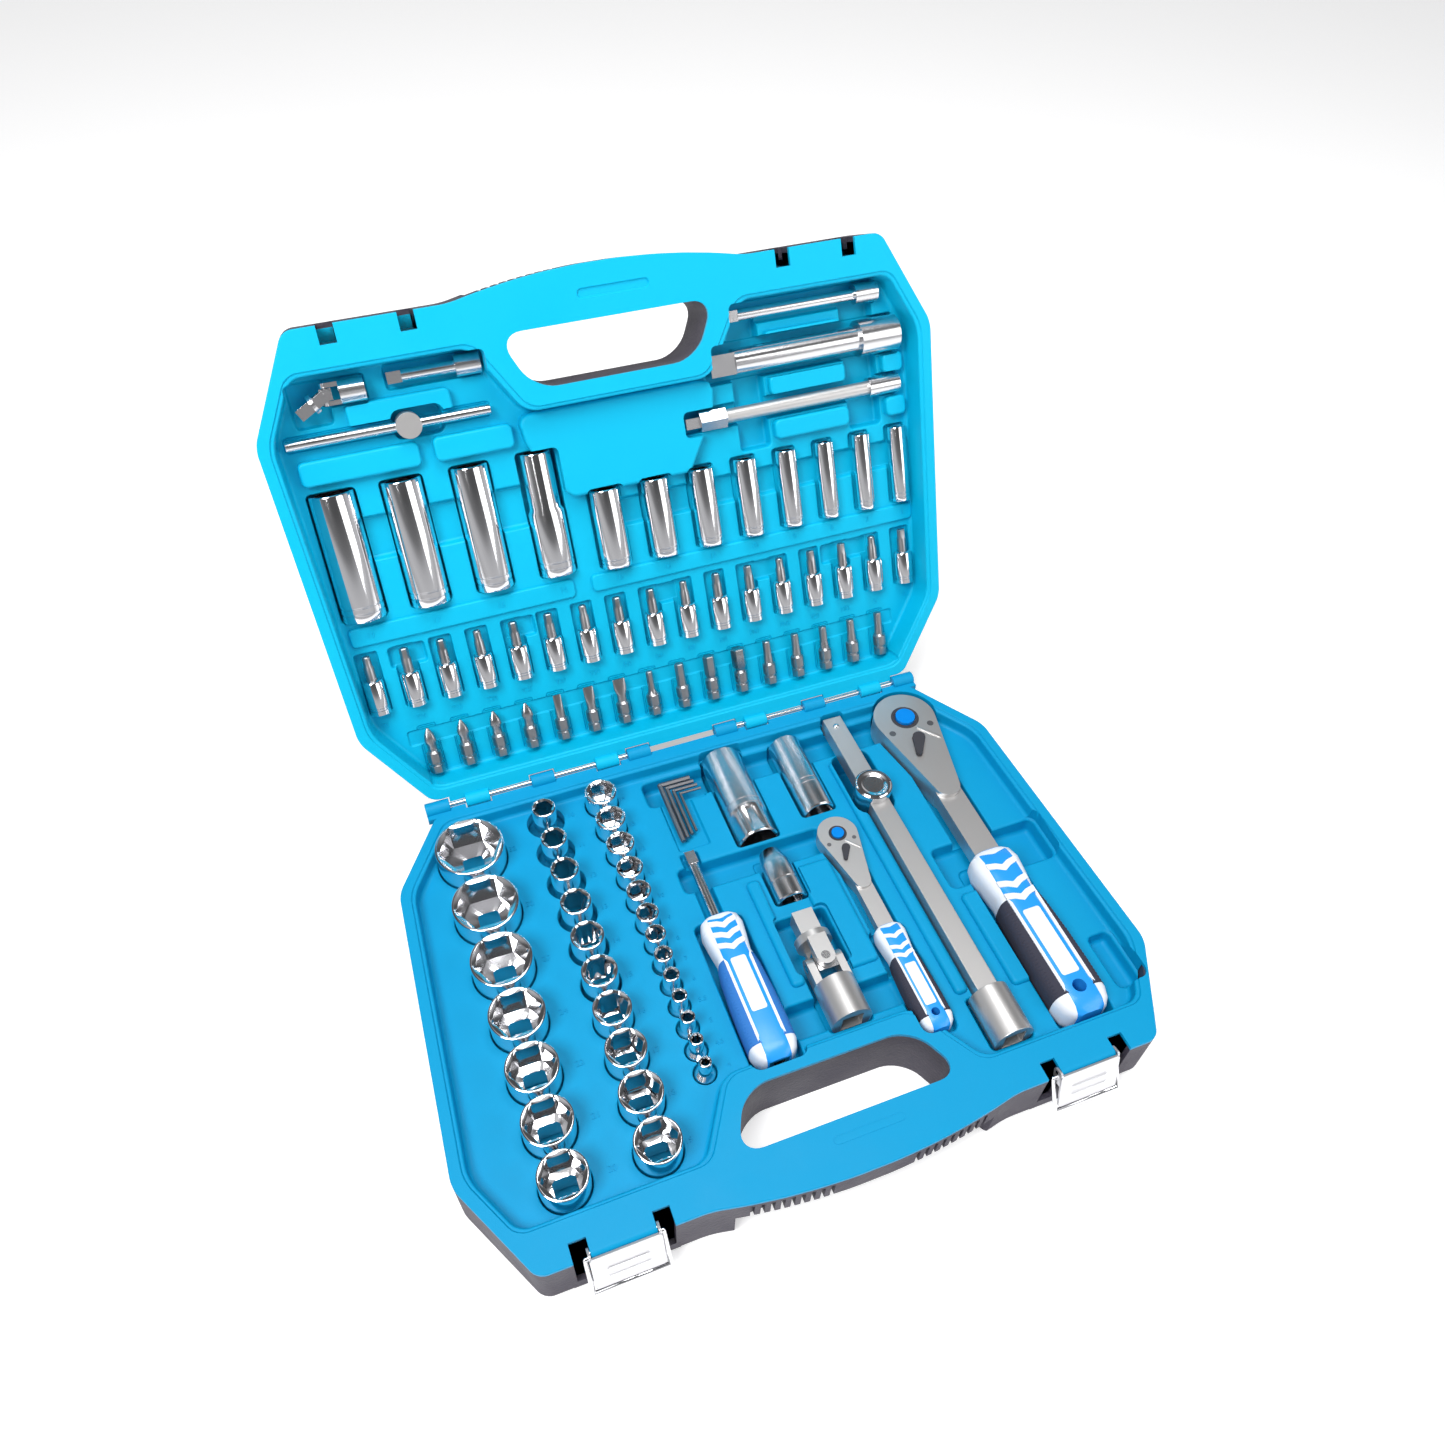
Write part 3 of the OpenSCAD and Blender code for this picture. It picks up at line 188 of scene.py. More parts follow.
def loft(sections: Sequence[Section], steps: int = ROUND_STEPS,
         ends: bool = True) -> bmesh.types.BMesh:
    """Builds a solid through rings on one axis.

    Args:
        sections: the rings in order along the surface.
        steps: the number of points on a ring.
        ends: True closes the first and last ring with a face, and False welds them together.

    Returns:
        The mesh, about the z axis.
    """
    mesh = bmesh.new()
    bmesh.ops.create_circle(mesh, segments=steps, radius=1.0, cap_ends=False)
    turns = {v: math.atan2(v.co.y, v.co.x) for v in mesh.verts}
    for vert, angle in turns.items():
        vert.co = sections[0].point(angle)
    start = list(mesh.edges)
    edges = start
    for section in sections[1:]:
        made = bmesh.ops.extrude_edge_only(mesh, edges=edges)["geom"]
        fresh = [g for g in made if isinstance(g, bmesh.types.BMVert)]
        turns = {v: next(turns[e.other_vert(v)] for e in v.link_edges if e.other_vert(v) in turns)
                 for v in fresh}
        for vert in fresh:
            vert.co = section.point(turns[vert])
        edges = [g for g in made if isinstance(g, bmesh.types.BMEdge)]
    if ends:
        for loop in (start, edges):
            bmesh.ops.edgeloop_fill(mesh, edges=loop)
    else:
        bmesh.ops.remove_doubles(mesh, verts=mesh.verts, dist=1e-4)
    bmesh.ops.recalc_face_normals(mesh, faces=mesh.faces)
    return mesh


def turned(profile: Sequence[Point], steps: int = ROUND_STEPS,
           ends: bool = True) -> bmesh.types.BMesh:
    """Builds a turned solid from (height, radius) points."""
    return loft([Section(z, r) for z, r in profile], steps, ends)


def grown(points: Sequence[Point], amount: float) -> list[Point]:
    """Moves every edge of an outline outwards.

    Args:
        points: the outline, anticlockwise.
        amount: how far, negative for inwards.

    Returns:
        The new outline.
    """
    count = len(points)
    moved = []
    for i, here in enumerate(points):
        before, after = Vector(points[i - 1]), Vector(points[(i + 1) % count])
        into = (Vector(here) - before).normalized()
        out = (after - Vector(here)).normalized()
        a, b = Vector((into.y, -into.x)), Vector((out.y, -out.x))
        step = (a + b) * (amount / (1 + a.dot(b)))
        moved.append((here[0] + step.x, here[1] + step.y))
    return moved


def slab(points: Sequence[Point], low: float, high: float, corner: float = 0.0,
         corner_steps: int = 4) -> bmesh.types.BMesh:
    """Builds a prism with rounded upright corners.

    Args:
        points: the outline.
        low: the height of its underside.
        high: the height of its top.
        corner: how far a corner's rounding runs along its edges.
        corner_steps: the number of flats in a rounded corner.

    Returns:
        The mesh.
    """
    mesh = bmesh.new()
    verts = [mesh.verts.new((x, y, low)) for x, y in points]
    face = mesh.faces.new(verts)
    if corner:
        bmesh.ops.bevel(mesh, geom=verts, offset=corner, offset_type="OFFSET", affect="VERTICES",
                        segments=corner_steps, profile=0.5, material=-1, clamp_overlap=True)
        face = mesh.faces[:][0]
    made = bmesh.ops.extrude_face_region(mesh, geom=[face])["geom"]
    moved = [g for g in made if isinstance(g, bmesh.types.BMVert)]
    bmesh.ops.translate(mesh, vec=(0, 0, high - low), verts=moved)
    bmesh.ops.holes_fill(mesh, edges=[e for e in mesh.edges if e.is_boundary])
    bmesh.ops.recalc_face_normals(mesh, faces=mesh.faces)
    return mesh


def edges_at(mesh: bmesh.types.BMesh, height: float) -> list[bmesh.types.BMEdge]:
    """Gives the edges that lie at one height."""
    return [e for e in mesh.edges if all(abs(v.co.z - height) < 1e-4 for v in e.verts)]


def soften(mesh: bmesh.types.BMesh, edges: list[bmesh.types.BMEdge], width: float,
           steps: int = 3) -> bmesh.types.BMesh:
    """Rounds some edges of a mesh and gives the mesh back."""
    bmesh.ops.bevel(mesh, geom=edges, offset=width, offset_type="OFFSET", affect="EDGES",
                    segments=steps, profile=0.5, material=-1, clamp_overlap=True)
    return mesh


def sink(mesh: bmesh.types.BMesh, face: bmesh.types.BMFace, inwards: float, down: float) -> None:
    """Carries a prism's bottom face down, drawn in by some distance."""
    bmesh.ops.inset_individual(mesh, faces=[face], thickness=inwards, depth=down,
                               use_even_offset=True)


CUT_CLEAR = 24.0
QUARTER_TURN = ((30, 0), (60, 30), (90, 60))


@dataclass(frozen=True)
class Pocket:
    """A moulded hollow: its outline, and how its lip, wall and floor run.

    Args:
        outline: the wall's outline at the face.
        face_z: the height of the face that it is sunk in.
        floor_z: the height of its floor.
        corner: the rounding of its upright corners.
        lip: the radius of its outer edge.
        fillet: the radius between wall and floor.
        draft: how far the wall leans in.
        corner_steps: the number of flats in a rounded corner.
    """

    outline: Sequence[Point]
    face_z: float
    floor_z: float
    corner: float = 2.0
    lip: float = 0.9
    fillet: float = 1.2
    draft: float = 0.35
    corner_steps: int = 4

    def cutter(self) -> bmesh.types.BMesh:
        """Builds the solid that the hollow takes away."""
        wide = grown(self.outline, self.lip)
        top = self.face_z + CUT_CLEAR
        mesh = slab(wide, self.face_z, top, self.corner + 0.6 * self.lip, self.corner_steps)
        floor = min(mesh.faces, key=lambda f: f.calc_center_median().z)
        for turn, last in QUARTER_TURN:
            across = self.lip * (math.sin(math.radians(turn)) - math.sin(math.radians(last)))
            down = self.lip * (math.cos(math.radians(last)) - math.cos(math.radians(turn)))
            sink(mesh, floor, across, down)
        sink(mesh, floor, self.draft, self.face_z - self.floor_z - self.lip - self.fillet)
        for turn, last in QUARTER_TURN:
            across = self.fillet * (math.cos(math.radians(last)) - math.cos(math.radians(turn)))
            down = self.fillet * (math.sin(math.radians(turn)) - math.sin(math.radians(last)))
            sink(mesh, floor, across, down)
        bmesh.ops.recalc_face_normals(mesh, faces=mesh.faces)
        return mesh


def box_outline(x0: float, s0: float, x1: float, s1: float) -> list[Point]:
    """Gives a rectangle's corners, anticlockwise."""
    return [(x0, s0), (x1, s0), (x1, s1), (x0, s1)]


def disc_outline(x: float, s: float, radius: float, steps: int = 32) -> list[Point]:
    """Gives a circle's points."""
    turns = [2 * math.pi * i / steps for i in range(steps)]
    return [(x + radius * math.cos(turn), s + radius * math.sin(turn)) for turn in turns]


def both_sides(points: Sequence[Point]) -> list[Point]:
    """Mirrors the right side of an outline and joins the two sides, anticlockwise."""
    return list(points) + [(-x, y) for x, y in reversed(points)]


def join(target: bmesh.types.BMesh, part: bmesh.types.BMesh, matrix: Optional[Matrix] = None) -> None:
    """Adds one mesh to another, moved by a matrix, and frees it."""
    if matrix is not None:
        bmesh.ops.transform(part, matrix=matrix, verts=part.verts)
        if matrix.determinant() < 0:
            bmesh.ops.reverse_faces(part, faces=part.faces)
    scratch = bpy.data.meshes.new("scratch")
    part.to_mesh(scratch)
    part.free()
    target.from_mesh(scratch)
    bpy.data.meshes.remove(scratch)


def raw_object(name: str, mesh: bmesh.types.BMesh) -> bpy.types.Object:
    """Makes an object of a mesh, with no material, and frees the mesh."""
    data = bpy.data.meshes.new(name)
    mesh.to_mesh(data)
    mesh.free()
    made = bpy.data.objects.new(name, data)
    bpy.context.scene.collection.objects.link(made)
    return made


class Join(Enum):
    """How two solids are put together."""

    CUT = "DIFFERENCE"
    ADD = "UNION"


def combine(body: bmesh.types.BMesh, tools: Sequence[bmesh.types.BMesh],
            how: Join) -> bmesh.types.BMesh:
    """Cuts solids out of a body, or adds them to it.

    Args:
        body: the solid that is kept.
        tools: the other solids, which are freed.
        how: cut or add.

    Returns:
        The new solid.
    """
    target = raw_object("combine_body", body)
    for tool in tools:
        other = raw_object("combine_tool", tool)
        step = target.modifiers.new("combine", "BOOLEAN")
        step.operation = how.value
        step.solver = "MANIFOLD"
        step.object = other
        bpy.context.view_layer.update()
        graph = bpy.context.evaluated_depsgraph_get()
        result = bpy.data.meshes.new_from_object(target.evaluated_get(graph))
        target.modifiers.clear()
        old = target.data
        target.data = result
        bpy.data.meshes.remove(old)
        bpy.data.objects.remove(other)
    mesh = bmesh.new()
    mesh.from_mesh(target.data)
    bpy.data.objects.remove(target)
    return mesh


SMOOTH_ANGLE = math.radians(32)


def piece(name: str, mesh: bmesh.types.BMesh, half: Optional[Half], body: str,
          look: bpy.types.Material, nodes: Sequence[str] = (),
          weighted: bool = False) -> bpy.types.Object:
    """Turns a mesh into a finished piece of the object.

    Args:
        name: the piece's name.
        mesh: its shape, in a half's millimetres, or in the row frame's metres without a half.
        half: the half of the case whose coordinates the mesh is in.
        body: the CAD body that it rides on.
        look: its material.
        nodes: the CAD nodes that it stands for.
        weighted: True keeps large flats flat where they meet small roundings.

    Returns:
        The object.
    """
    if half is not None:
        bmesh.ops.transform(mesh, matrix=half.to_row, verts=mesh.verts)
        if half.to_row.determinant() < 0:
            bmesh.ops.reverse_faces(mesh, faces=mesh.faces)
    for face in mesh.faces:
        face.smooth = True
    made = raw_object(name, mesh)
    made.data.set_sharp_from_angle(angle=SMOOTH_ANGLE)
    made.data.materials.append(look)
    if weighted:
        normals = made.modifiers.new("weighted", "WEIGHTED_NORMAL")
        normals.keep_sharp = True
        normals.weight = 60
    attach(made, body)
    if nodes:
        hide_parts(*nodes)
    log.info("%s: %d faces", name, len(made.data.polygons))
    return made


# ---------------------------------------------------------------- finishes


def link(tree: bpy.types.NodeTree, source: bpy.types.NodeSocket, target: bpy.types.NodeSocket) -> None:
    """Joins two sockets of a node tree."""
    tree.links.new(source, target)


class ShaderGroups:
    """The node groups that several finishes share. Each is built once."""

    made: dict[str, bpy.types.NodeTree] = {}

    @classmethod
    def start(cls, name: str, inputs: Sequence[tuple[str, float]], outputs: Sequence[str]
              ) -> tuple[bpy.types.NodeTree, bpy.types.Node, bpy.types.Node]:
        """Makes an empty group with float inputs and outputs."""
        tree = bpy.data.node_groups.new(name, "ShaderNodeTree")
        for label, default in inputs:
            socket = tree.interface.new_socket(label, in_out="INPUT", socket_type="NodeSocketFloat")
            socket.default_value = default
        for label in outputs:
            tree.interface.new_socket(label, in_out="OUTPUT", socket_type="NodeSocketFloat")
        return tree, tree.nodes.new("NodeGroupInput"), tree.nodes.new("NodeGroupOutput")

    @classmethod
    def grain(cls) -> bpy.types.NodeTree:
        """Gives the group for moulded or blasted grain: a fine height and a broad mottle."""
        if "grain" not in cls.made:
            tree, start, end = cls.start("surface_grain", [("Fine", 900.0), ("Broad", 18.0)],
                                         ["Height", "Mottle"])
            place = tree.nodes.new("ShaderNodeTexCoord")
            for label, detail, result in (("Fine", 3.0, "Height"), ("Broad", 4.0, "Mottle")):
                noise = tree.nodes.new("ShaderNodeTexNoise")
                noise.inputs["Detail"].default_value = detail
                noise.inputs["Roughness"].default_value = 0.6
                link(tree, place.outputs["Object"], noise.inputs["Vector"])
                link(tree, start.outputs[label], noise.inputs["Scale"])
                link(tree, noise.outputs["Fac"], end.inputs[result])
            cls.made["grain"] = tree
        return cls.made["grain"]

    @classmethod
    def wear(cls) -> bpy.types.NodeTree:
        """Gives the group for worn edges: a mask that is 1 on outer edges, broken by noise."""
        if "wear" not in cls.made:
            tree, start, end = cls.start("edge_wear", [("Low", 0.52), ("High", 0.6)], ["Mask"])
            shape = tree.nodes.new("ShaderNodeNewGeometry")
            edge = tree.nodes.new("ShaderNodeMapRange")
            link(tree, shape.outputs["Pointiness"], edge.inputs["Value"])
            link(tree, start.outputs["Low"], edge.inputs["From Min"])
            link(tree, start.outputs["High"], edge.inputs["From Max"])
            place = tree.nodes.new("ShaderNodeTexCoord")
            noise = tree.nodes.new("ShaderNodeTexNoise")
            noise.inputs["Scale"].default_value = 160.0
            link(tree, place.outputs["Object"], noise.inputs["Vector"])
            both = tree.nodes.new("ShaderNodeMath")
            both.operation = "MULTIPLY"
            link(tree, edge.outputs["Result"], both.inputs[0])
            link(tree, noise.outputs["Fac"], both.inputs[1])
            link(tree, both.outputs["Value"], end.inputs["Mask"])
            cls.made["wear"] = tree
        return cls.made["wear"]


Colour = tuple[float, float, float]


@dataclass(frozen=True)
class Finish:
    """A surface finish: its colours, gloss and grain.

    Args:
        name: the material's name.
        colour: the main colour, linear.
        second: the colour that the broad mottle and wear bring in.
        rough: the lowest and highest roughness over the mottle.
        metal: 1 for bare metal.
        fine: the scale of the fine grain.
        relief: the depth of the fine grain, in metres.
        broad: the scale of the broad mottle.
        mottle: how much of the second colour the mottle brings in.
        worn: how much of the second colour shows on edges.
        coat: the weight of a clear coat.
        brushed: how much finer the brushed lines are than 1 m, on each axis, or None.
        shine: the specular level.
        glow: the strength of the finish's own light.
    """

    name: str
    colour: Colour
    second: Colour
    rough: tuple[float, float]
    metal: float = 0.0
    fine: float = 900.0
    relief: float = 0.00005
    broad: float = 18.0
    mottle: float = 0.5
    worn: float = 0.0
    coat: float = 0.0
    brushed: Optional[Vector] = None
    shine: float = 0.5
    glow: float = 0.0

    def build(self) -> bpy.types.Material:
        """Builds the material, once."""
        known = bpy.data.materials.get(self.name)
        if known:
            return known
        look = bpy.data.materials.new(self.name)
        look.use_nodes = True
        tree = look.node_tree
        shader = tree.nodes["Principled BSDF"]
        shader.inputs["Metallic"].default_value = self.metal
        shader.inputs["Coat Weight"].default_value = self.coat
        shader.inputs["Coat Roughness"].default_value = 0.12
        shader.inputs["Specular IOR Level"].default_value = self.shine
        shader.inputs["Emission Color"].default_value = (1, 1, 1, 1)
        shader.inputs["Emission Strength"].default_value = self.glow
        grain = tree.nodes.new("ShaderNodeGroup")
        grain.node_tree = ShaderGroups.grain()
        grain.inputs["Fine"].default_value = self.fine
        grain.inputs["Broad"].default_value = self.broad
        amount = tree.nodes.new("ShaderNodeMath")
        amount.operation = "MULTIPLY"
        amount.inputs[1].default_value = self.mottle
        link(tree, grain.outputs["Mottle"], amount.inputs[0])
        shade = tree.nodes.new("ShaderNodeMix")
        shade.data_type = "RGBA"
        shade.inputs["A"].default_value = (*self.colour, 1)
        shade.inputs["B"].default_value = (*self.second, 1)
        link(tree, amount.outputs["Value"], shade.inputs["Factor"])
        last = shade.outputs["Result"]
        if self.worn:
            wear = tree.nodes.new("ShaderNodeGroup")
            wear.node_tree = ShaderGroups.wear()
            rub = tree.nodes.new("ShaderNodeMath")
            rub.operation = "MULTIPLY"
            rub.inputs[1].default_value = self.worn
            link(tree, wear.outputs["Mask"], rub.inputs[0])
            rubbed = tree.nodes.new("ShaderNodeMix")
            rubbed.data_type = "RGBA"
            link(tree, rub.outputs["Value"], rubbed.inputs["Factor"])
            link(tree, last, rubbed.inputs["A"])
            rubbed.inputs["B"].default_value = (*self.second, 1)
            last = rubbed.outputs["Result"]
        link(tree, last, shader.inputs["Base Color"])
        gloss = tree.nodes.new("ShaderNodeMapRange")
        gloss.inputs["From Min"].default_value = 0.3
        gloss.inputs["From Max"].default_value = 0.7
        gloss.inputs["To Min"].default_value = self.rough[0]
        gloss.inputs["To Max"].default_value = self.rough[1]
        link(tree, grain.outputs["Mottle"], gloss.inputs["Value"])
        link(tree, gloss.outputs["Result"], shader.inputs["Roughness"])
        bump = tree.nodes.new("ShaderNodeBump")
        bump.inputs["Strength"].default_value = 1.0
        bump.inputs["Distance"].default_value = self.relief
        height = grain.outputs["Height"]
        if self.brushed is not None:
            height = self.brush_lines(tree)
        link(tree, height, bump.inputs["Height"])
        link(tree, bump.outputs["Normal"], shader.inputs["Normal"])
        return look

    def brush_lines(self, tree: bpy.types.NodeTree) -> bpy.types.NodeSocket:
        """Makes a height of fine lines: noise stretched by the brushed scale on each axis."""
        place = tree.nodes.new("ShaderNodeTexCoord")
        stretch = tree.nodes.new("ShaderNodeMapping")
        stretch.inputs["Scale"].default_value = self.brushed
        link(tree, place.outputs["Object"], stretch.inputs["Vector"])
        noise = tree.nodes.new("ShaderNodeTexNoise")
        noise.inputs["Scale"].default_value = 1.0
        noise.inputs["Detail"].default_value = 4.0
        link(tree, stretch.outputs["Vector"], noise.inputs["Vector"])
        return noise.outputs["Fac"]


TRAY_BLUE = Finish("tray_blue", (0.0, 0.27, 0.52), (0.0, 0.30, 0.56), (0.42, 0.56), relief=0.00006, fine=1400,
                   shine=0.18)
LID_BLUE = Finish("lid_blue", (0.0, 0.42, 0.66), (0.0, 0.46, 0.70), (0.42, 0.56), relief=0.00006, fine=1400,
                  shine=0.18)
SHELL_DARK = Finish("shell_dark", (0.030, 0.026, 0.042), (0.060, 0.052, 0.080), (0.5, 0.75),
                    fine=520, relief=0.0005, mottle=0.6)
CHROME = Finish("chrome", (0.83, 0.83, 0.85), (0.74, 0.74, 0.77), (0.05, 0.13), metal=1.0,
                relief=0.000006, fine=300)
BRIGHT_STEEL = Finish("bright_steel", (0.72, 0.72, 0.73), (0.60, 0.60, 0.62), (0.14, 0.26), metal=1.0,
                      relief=0.00001, fine=1200)
SATIN_STEEL = Finish("satin_steel", (0.42, 0.41, 0.40), (0.33, 0.32, 0.32), (0.28, 0.42), metal=1.0,
                     relief=0.00002, fine=1800, worn=0.6)
DARK_STEEL = Finish("dark_steel", (0.22, 0.22, 0.23), (0.34, 0.34, 0.35), (0.26, 0.4), metal=1.0,
                    relief=0.00001, worn=0.7)
BIT_STEEL = Finish("bit_steel", (0.40, 0.40, 0.41), (0.30, 0.30, 0.31), (0.24, 0.38), metal=1.0,
                   relief=0.00001, worn=0.5)
PLATE_STEEL = Finish("plate_steel", (0.56, 0.57, 0.60), (0.46, 0.47, 0.50), (0.16, 0.3), metal=1.0,
                     relief=0.00002, brushed=Vector((40, 1400, 1400)))
BLACK_PLASTIC = Finish("black_plastic", (0.012, 0.012, 0.014), (0.04, 0.04, 0.045), (0.28, 0.45), worn=0.5)
BUTTON_BLUE = Finish("button_blue", (0.0, 0.20, 0.66), (0.0, 0.26, 0.74), (0.12, 0.2), coat=0.5,
                     relief=0.00001)
HANDLE_BLUE = Finish("handle_blue", (0.0, 0.20, 0.64), (0.0, 0.25, 0.70), (0.2, 0.34), coat=0.3,
                     relief=0.00002)
HANDLE_WHITE = Finish("handle_white", (0.80, 0.82, 0.86), (0.72, 0.75, 0.82), (0.24, 0.36), relief=0.00002)
GRIP_BLACK = Finish("grip_black", (0.016, 0.014, 0.030), (0.034, 0.030, 0.055), (0.5, 0.68),
                    relief=0.0002, fine=1100)
GRIP_BLUE = Finish("grip_blue", (0.0, 0.13, 0.46), (0.0, 0.17, 0.54), (0.4, 0.55), relief=0.0001, fine=1100)
FLOOR_PAINT = Finish("floor_paint", (0.80, 0.80, 0.80), (0.83, 0.83, 0.83), (0.7, 0.8), relief=0.00001,
                     broad=2.0, glow=0.45)
INSERT_RUBBER = Finish("insert_rubber", (0.012, 0.012, 0.012), (0.03, 0.03, 0.03), (0.6, 0.8), relief=0.0002)


# ---------------------------------------------------------------- carried-over CAD nodes


def carry(look: bpy.types.Material, *nodes: str, edge: float = 0.35) -> None:
    """Dresses CAD nodes that are shown as they are, with softened edges.

    Args:
        look: their material.
        nodes: their names.
        edge: the width of the softened edges in millimetres, or 0 for none.
    """
    for name in nodes:
        shown = frame["nodes"][name]
        shown.data.materials.clear()
        shown.data.materials.append(look)
        weld = shown.modifiers.new("weld", "WELD")
        weld.merge_threshold = 0.000002
        if edge:
            soft = shown.modifiers.new("soft_edges", "BEVEL")
            soft.width = edge * MM
            soft.segments = 2
            soft.limit_method = "ANGLE"
            soft.angle_limit = math.radians(35)
            normals = shown.modifiers.new("weighted", "WEIGHTED_NORMAL")
            normals.keep_sharp = True
        log.info("%s: carried over", name)


# ---------------------------------------------------------------- case


def lies_along_s(x: float, s: float, z: float) -> Matrix:
    """Gives the matrix that lays an upright piece along s, with its foot at a point."""
    return Matrix.Translation((x, s, z)) @ Matrix.Rotation(-math.pi / 2, 4, "X")


def lies_along_x(x: float, s: float, z: float) -> Matrix:
    """Gives the matrix that lays an upright piece along x, with its foot at a point."""
    return Matrix.Translation((x, s, z)) @ Matrix.Rotation(math.pi / 2, 4, "Y")


def box_solid(low: Sequence[float], high: Sequence[float]) -> bmesh.types.BMesh:
    """Builds a plain cutting block between two corners."""
    return slab(box_outline(low[0], low[1], high[0], high[1]), low[2], high[2])


GRIP_FLARE = 50.0


@dataclass(frozen=True)
class CasePlan:
    """The outline shared by both halves of the case.

    Args:
        sides: the right side's corners from the hinge to the front edge.
        grip_half: half the carrying grip's width.
        grip_bulge: how far the grip stands out of the front edge.
        gap_back: the hand opening's corner towards the hinge.
        gap_front: its corner towards the grip.
        gap_corner: the rounding of its corners.
        front: the front edge's distance from the hinge line.
        latch_x: the latches' distance from the middle.
        boss_half: half the width of a latch boss.
        notch_w: the width of the slots beside a boss.
        notch_d: their depth from the front edge.
        notch_h: their height below the rim.
        rim_w: the rim's width round the recess.
        recess_front: the recess's front edge.
    """

    sides: tuple[Point, ...] = ((163.0, 5.0), (194.93, 53.9), (202.0, 230.9), (172.9, 286.0))
    grip_half: float = 86.0
    grip_bulge: float = 9.5
    gap_back: Point = (49.0, 234.0)
    gap_front: Point = (64.0, 266.0)
    gap_corner: float = 14.0
    front: float = 286.0
    latch_x: float = 130.0
    boss_half: float = 16.65
    notch_w: float = 9.0
    notch_d: float = 10.0
    notch_h: float = 29.0
    rim_w: float = 8.5
    recess_front: float = 262.0

    def plain(self) -> list[Point]:
        """Gives the outline without the grip's bulge."""
        return both_sides(self.sides)

    def full(self) -> list[Point]:
        """Gives the outline with the grip's bulge."""
        radius = (self.grip_half ** 2 + self.grip_bulge ** 2) / (2 * self.grip_bulge)
        middle = self.front + self.grip_bulge - radius
        arc = [(x, middle + math.sqrt(radius ** 2 - x ** 2)) for x in (68.0, 50.0, 32.0, 12.0)]
        return both_sides([*self.sides, (self.grip_half, self.front), *arc])

    def within(self, inset: float) -> list[Point]:
        """Gives the outline of the room inside the walls, clear of the hand opening."""
        side = grown(self.plain(), -inset)[:4]
        (bx, bs), (fx, fs) = self.gap_back, self.gap_front
        lean = (self.grip_half - fx) / GRIP_FLARE
        edge = side[3][1]
        return both_sides([*side, (fx + inset + lean * (edge - fs), edge), (fx + inset, fs),
                           (bx + inset, bs - inset)])

    def recess(self, inset: float = 0.0) -> list[Point]:
        """Gives the outline of the tray's recess."""
        p0, p1, p2, p3 = grown(self.plain(), -self.rim_w - inset)[:4]
        edge = self.recess_front - inset
        share = (edge - p2[1]) / (p3[1] - p2[1])
        corner = (p2[0] + share * (p3[0] - p2[0]), edge)
        return both_sides([p0, p1, p2, corner, (80.0 + inset, edge), (56.0 + inset, 222.5 - inset)])

    def gap(self) -> bmesh.types.BMesh:
        """Builds the solid of the hand opening, with its upright corners rounded."""
        return slab(both_sides([self.gap_back, self.gap_front]), -60, 20, self.gap_corner, 8)

    def notches(self) -> list[bmesh.types.BMesh]:
        """Builds the four clearance slots beside the latch bosses."""
        cuts = []
        for side in (-1, 1):
            for edge in (-1, 1):
                x = side * self.latch_x + edge * (self.boss_half + self.notch_w / 2)
                cuts.append(box_solid((x - self.notch_w / 2, self.front - self.notch_d, -self.notch_h),
                                      (x + self.notch_w / 2, self.front + 4, 4)))
        return cuts


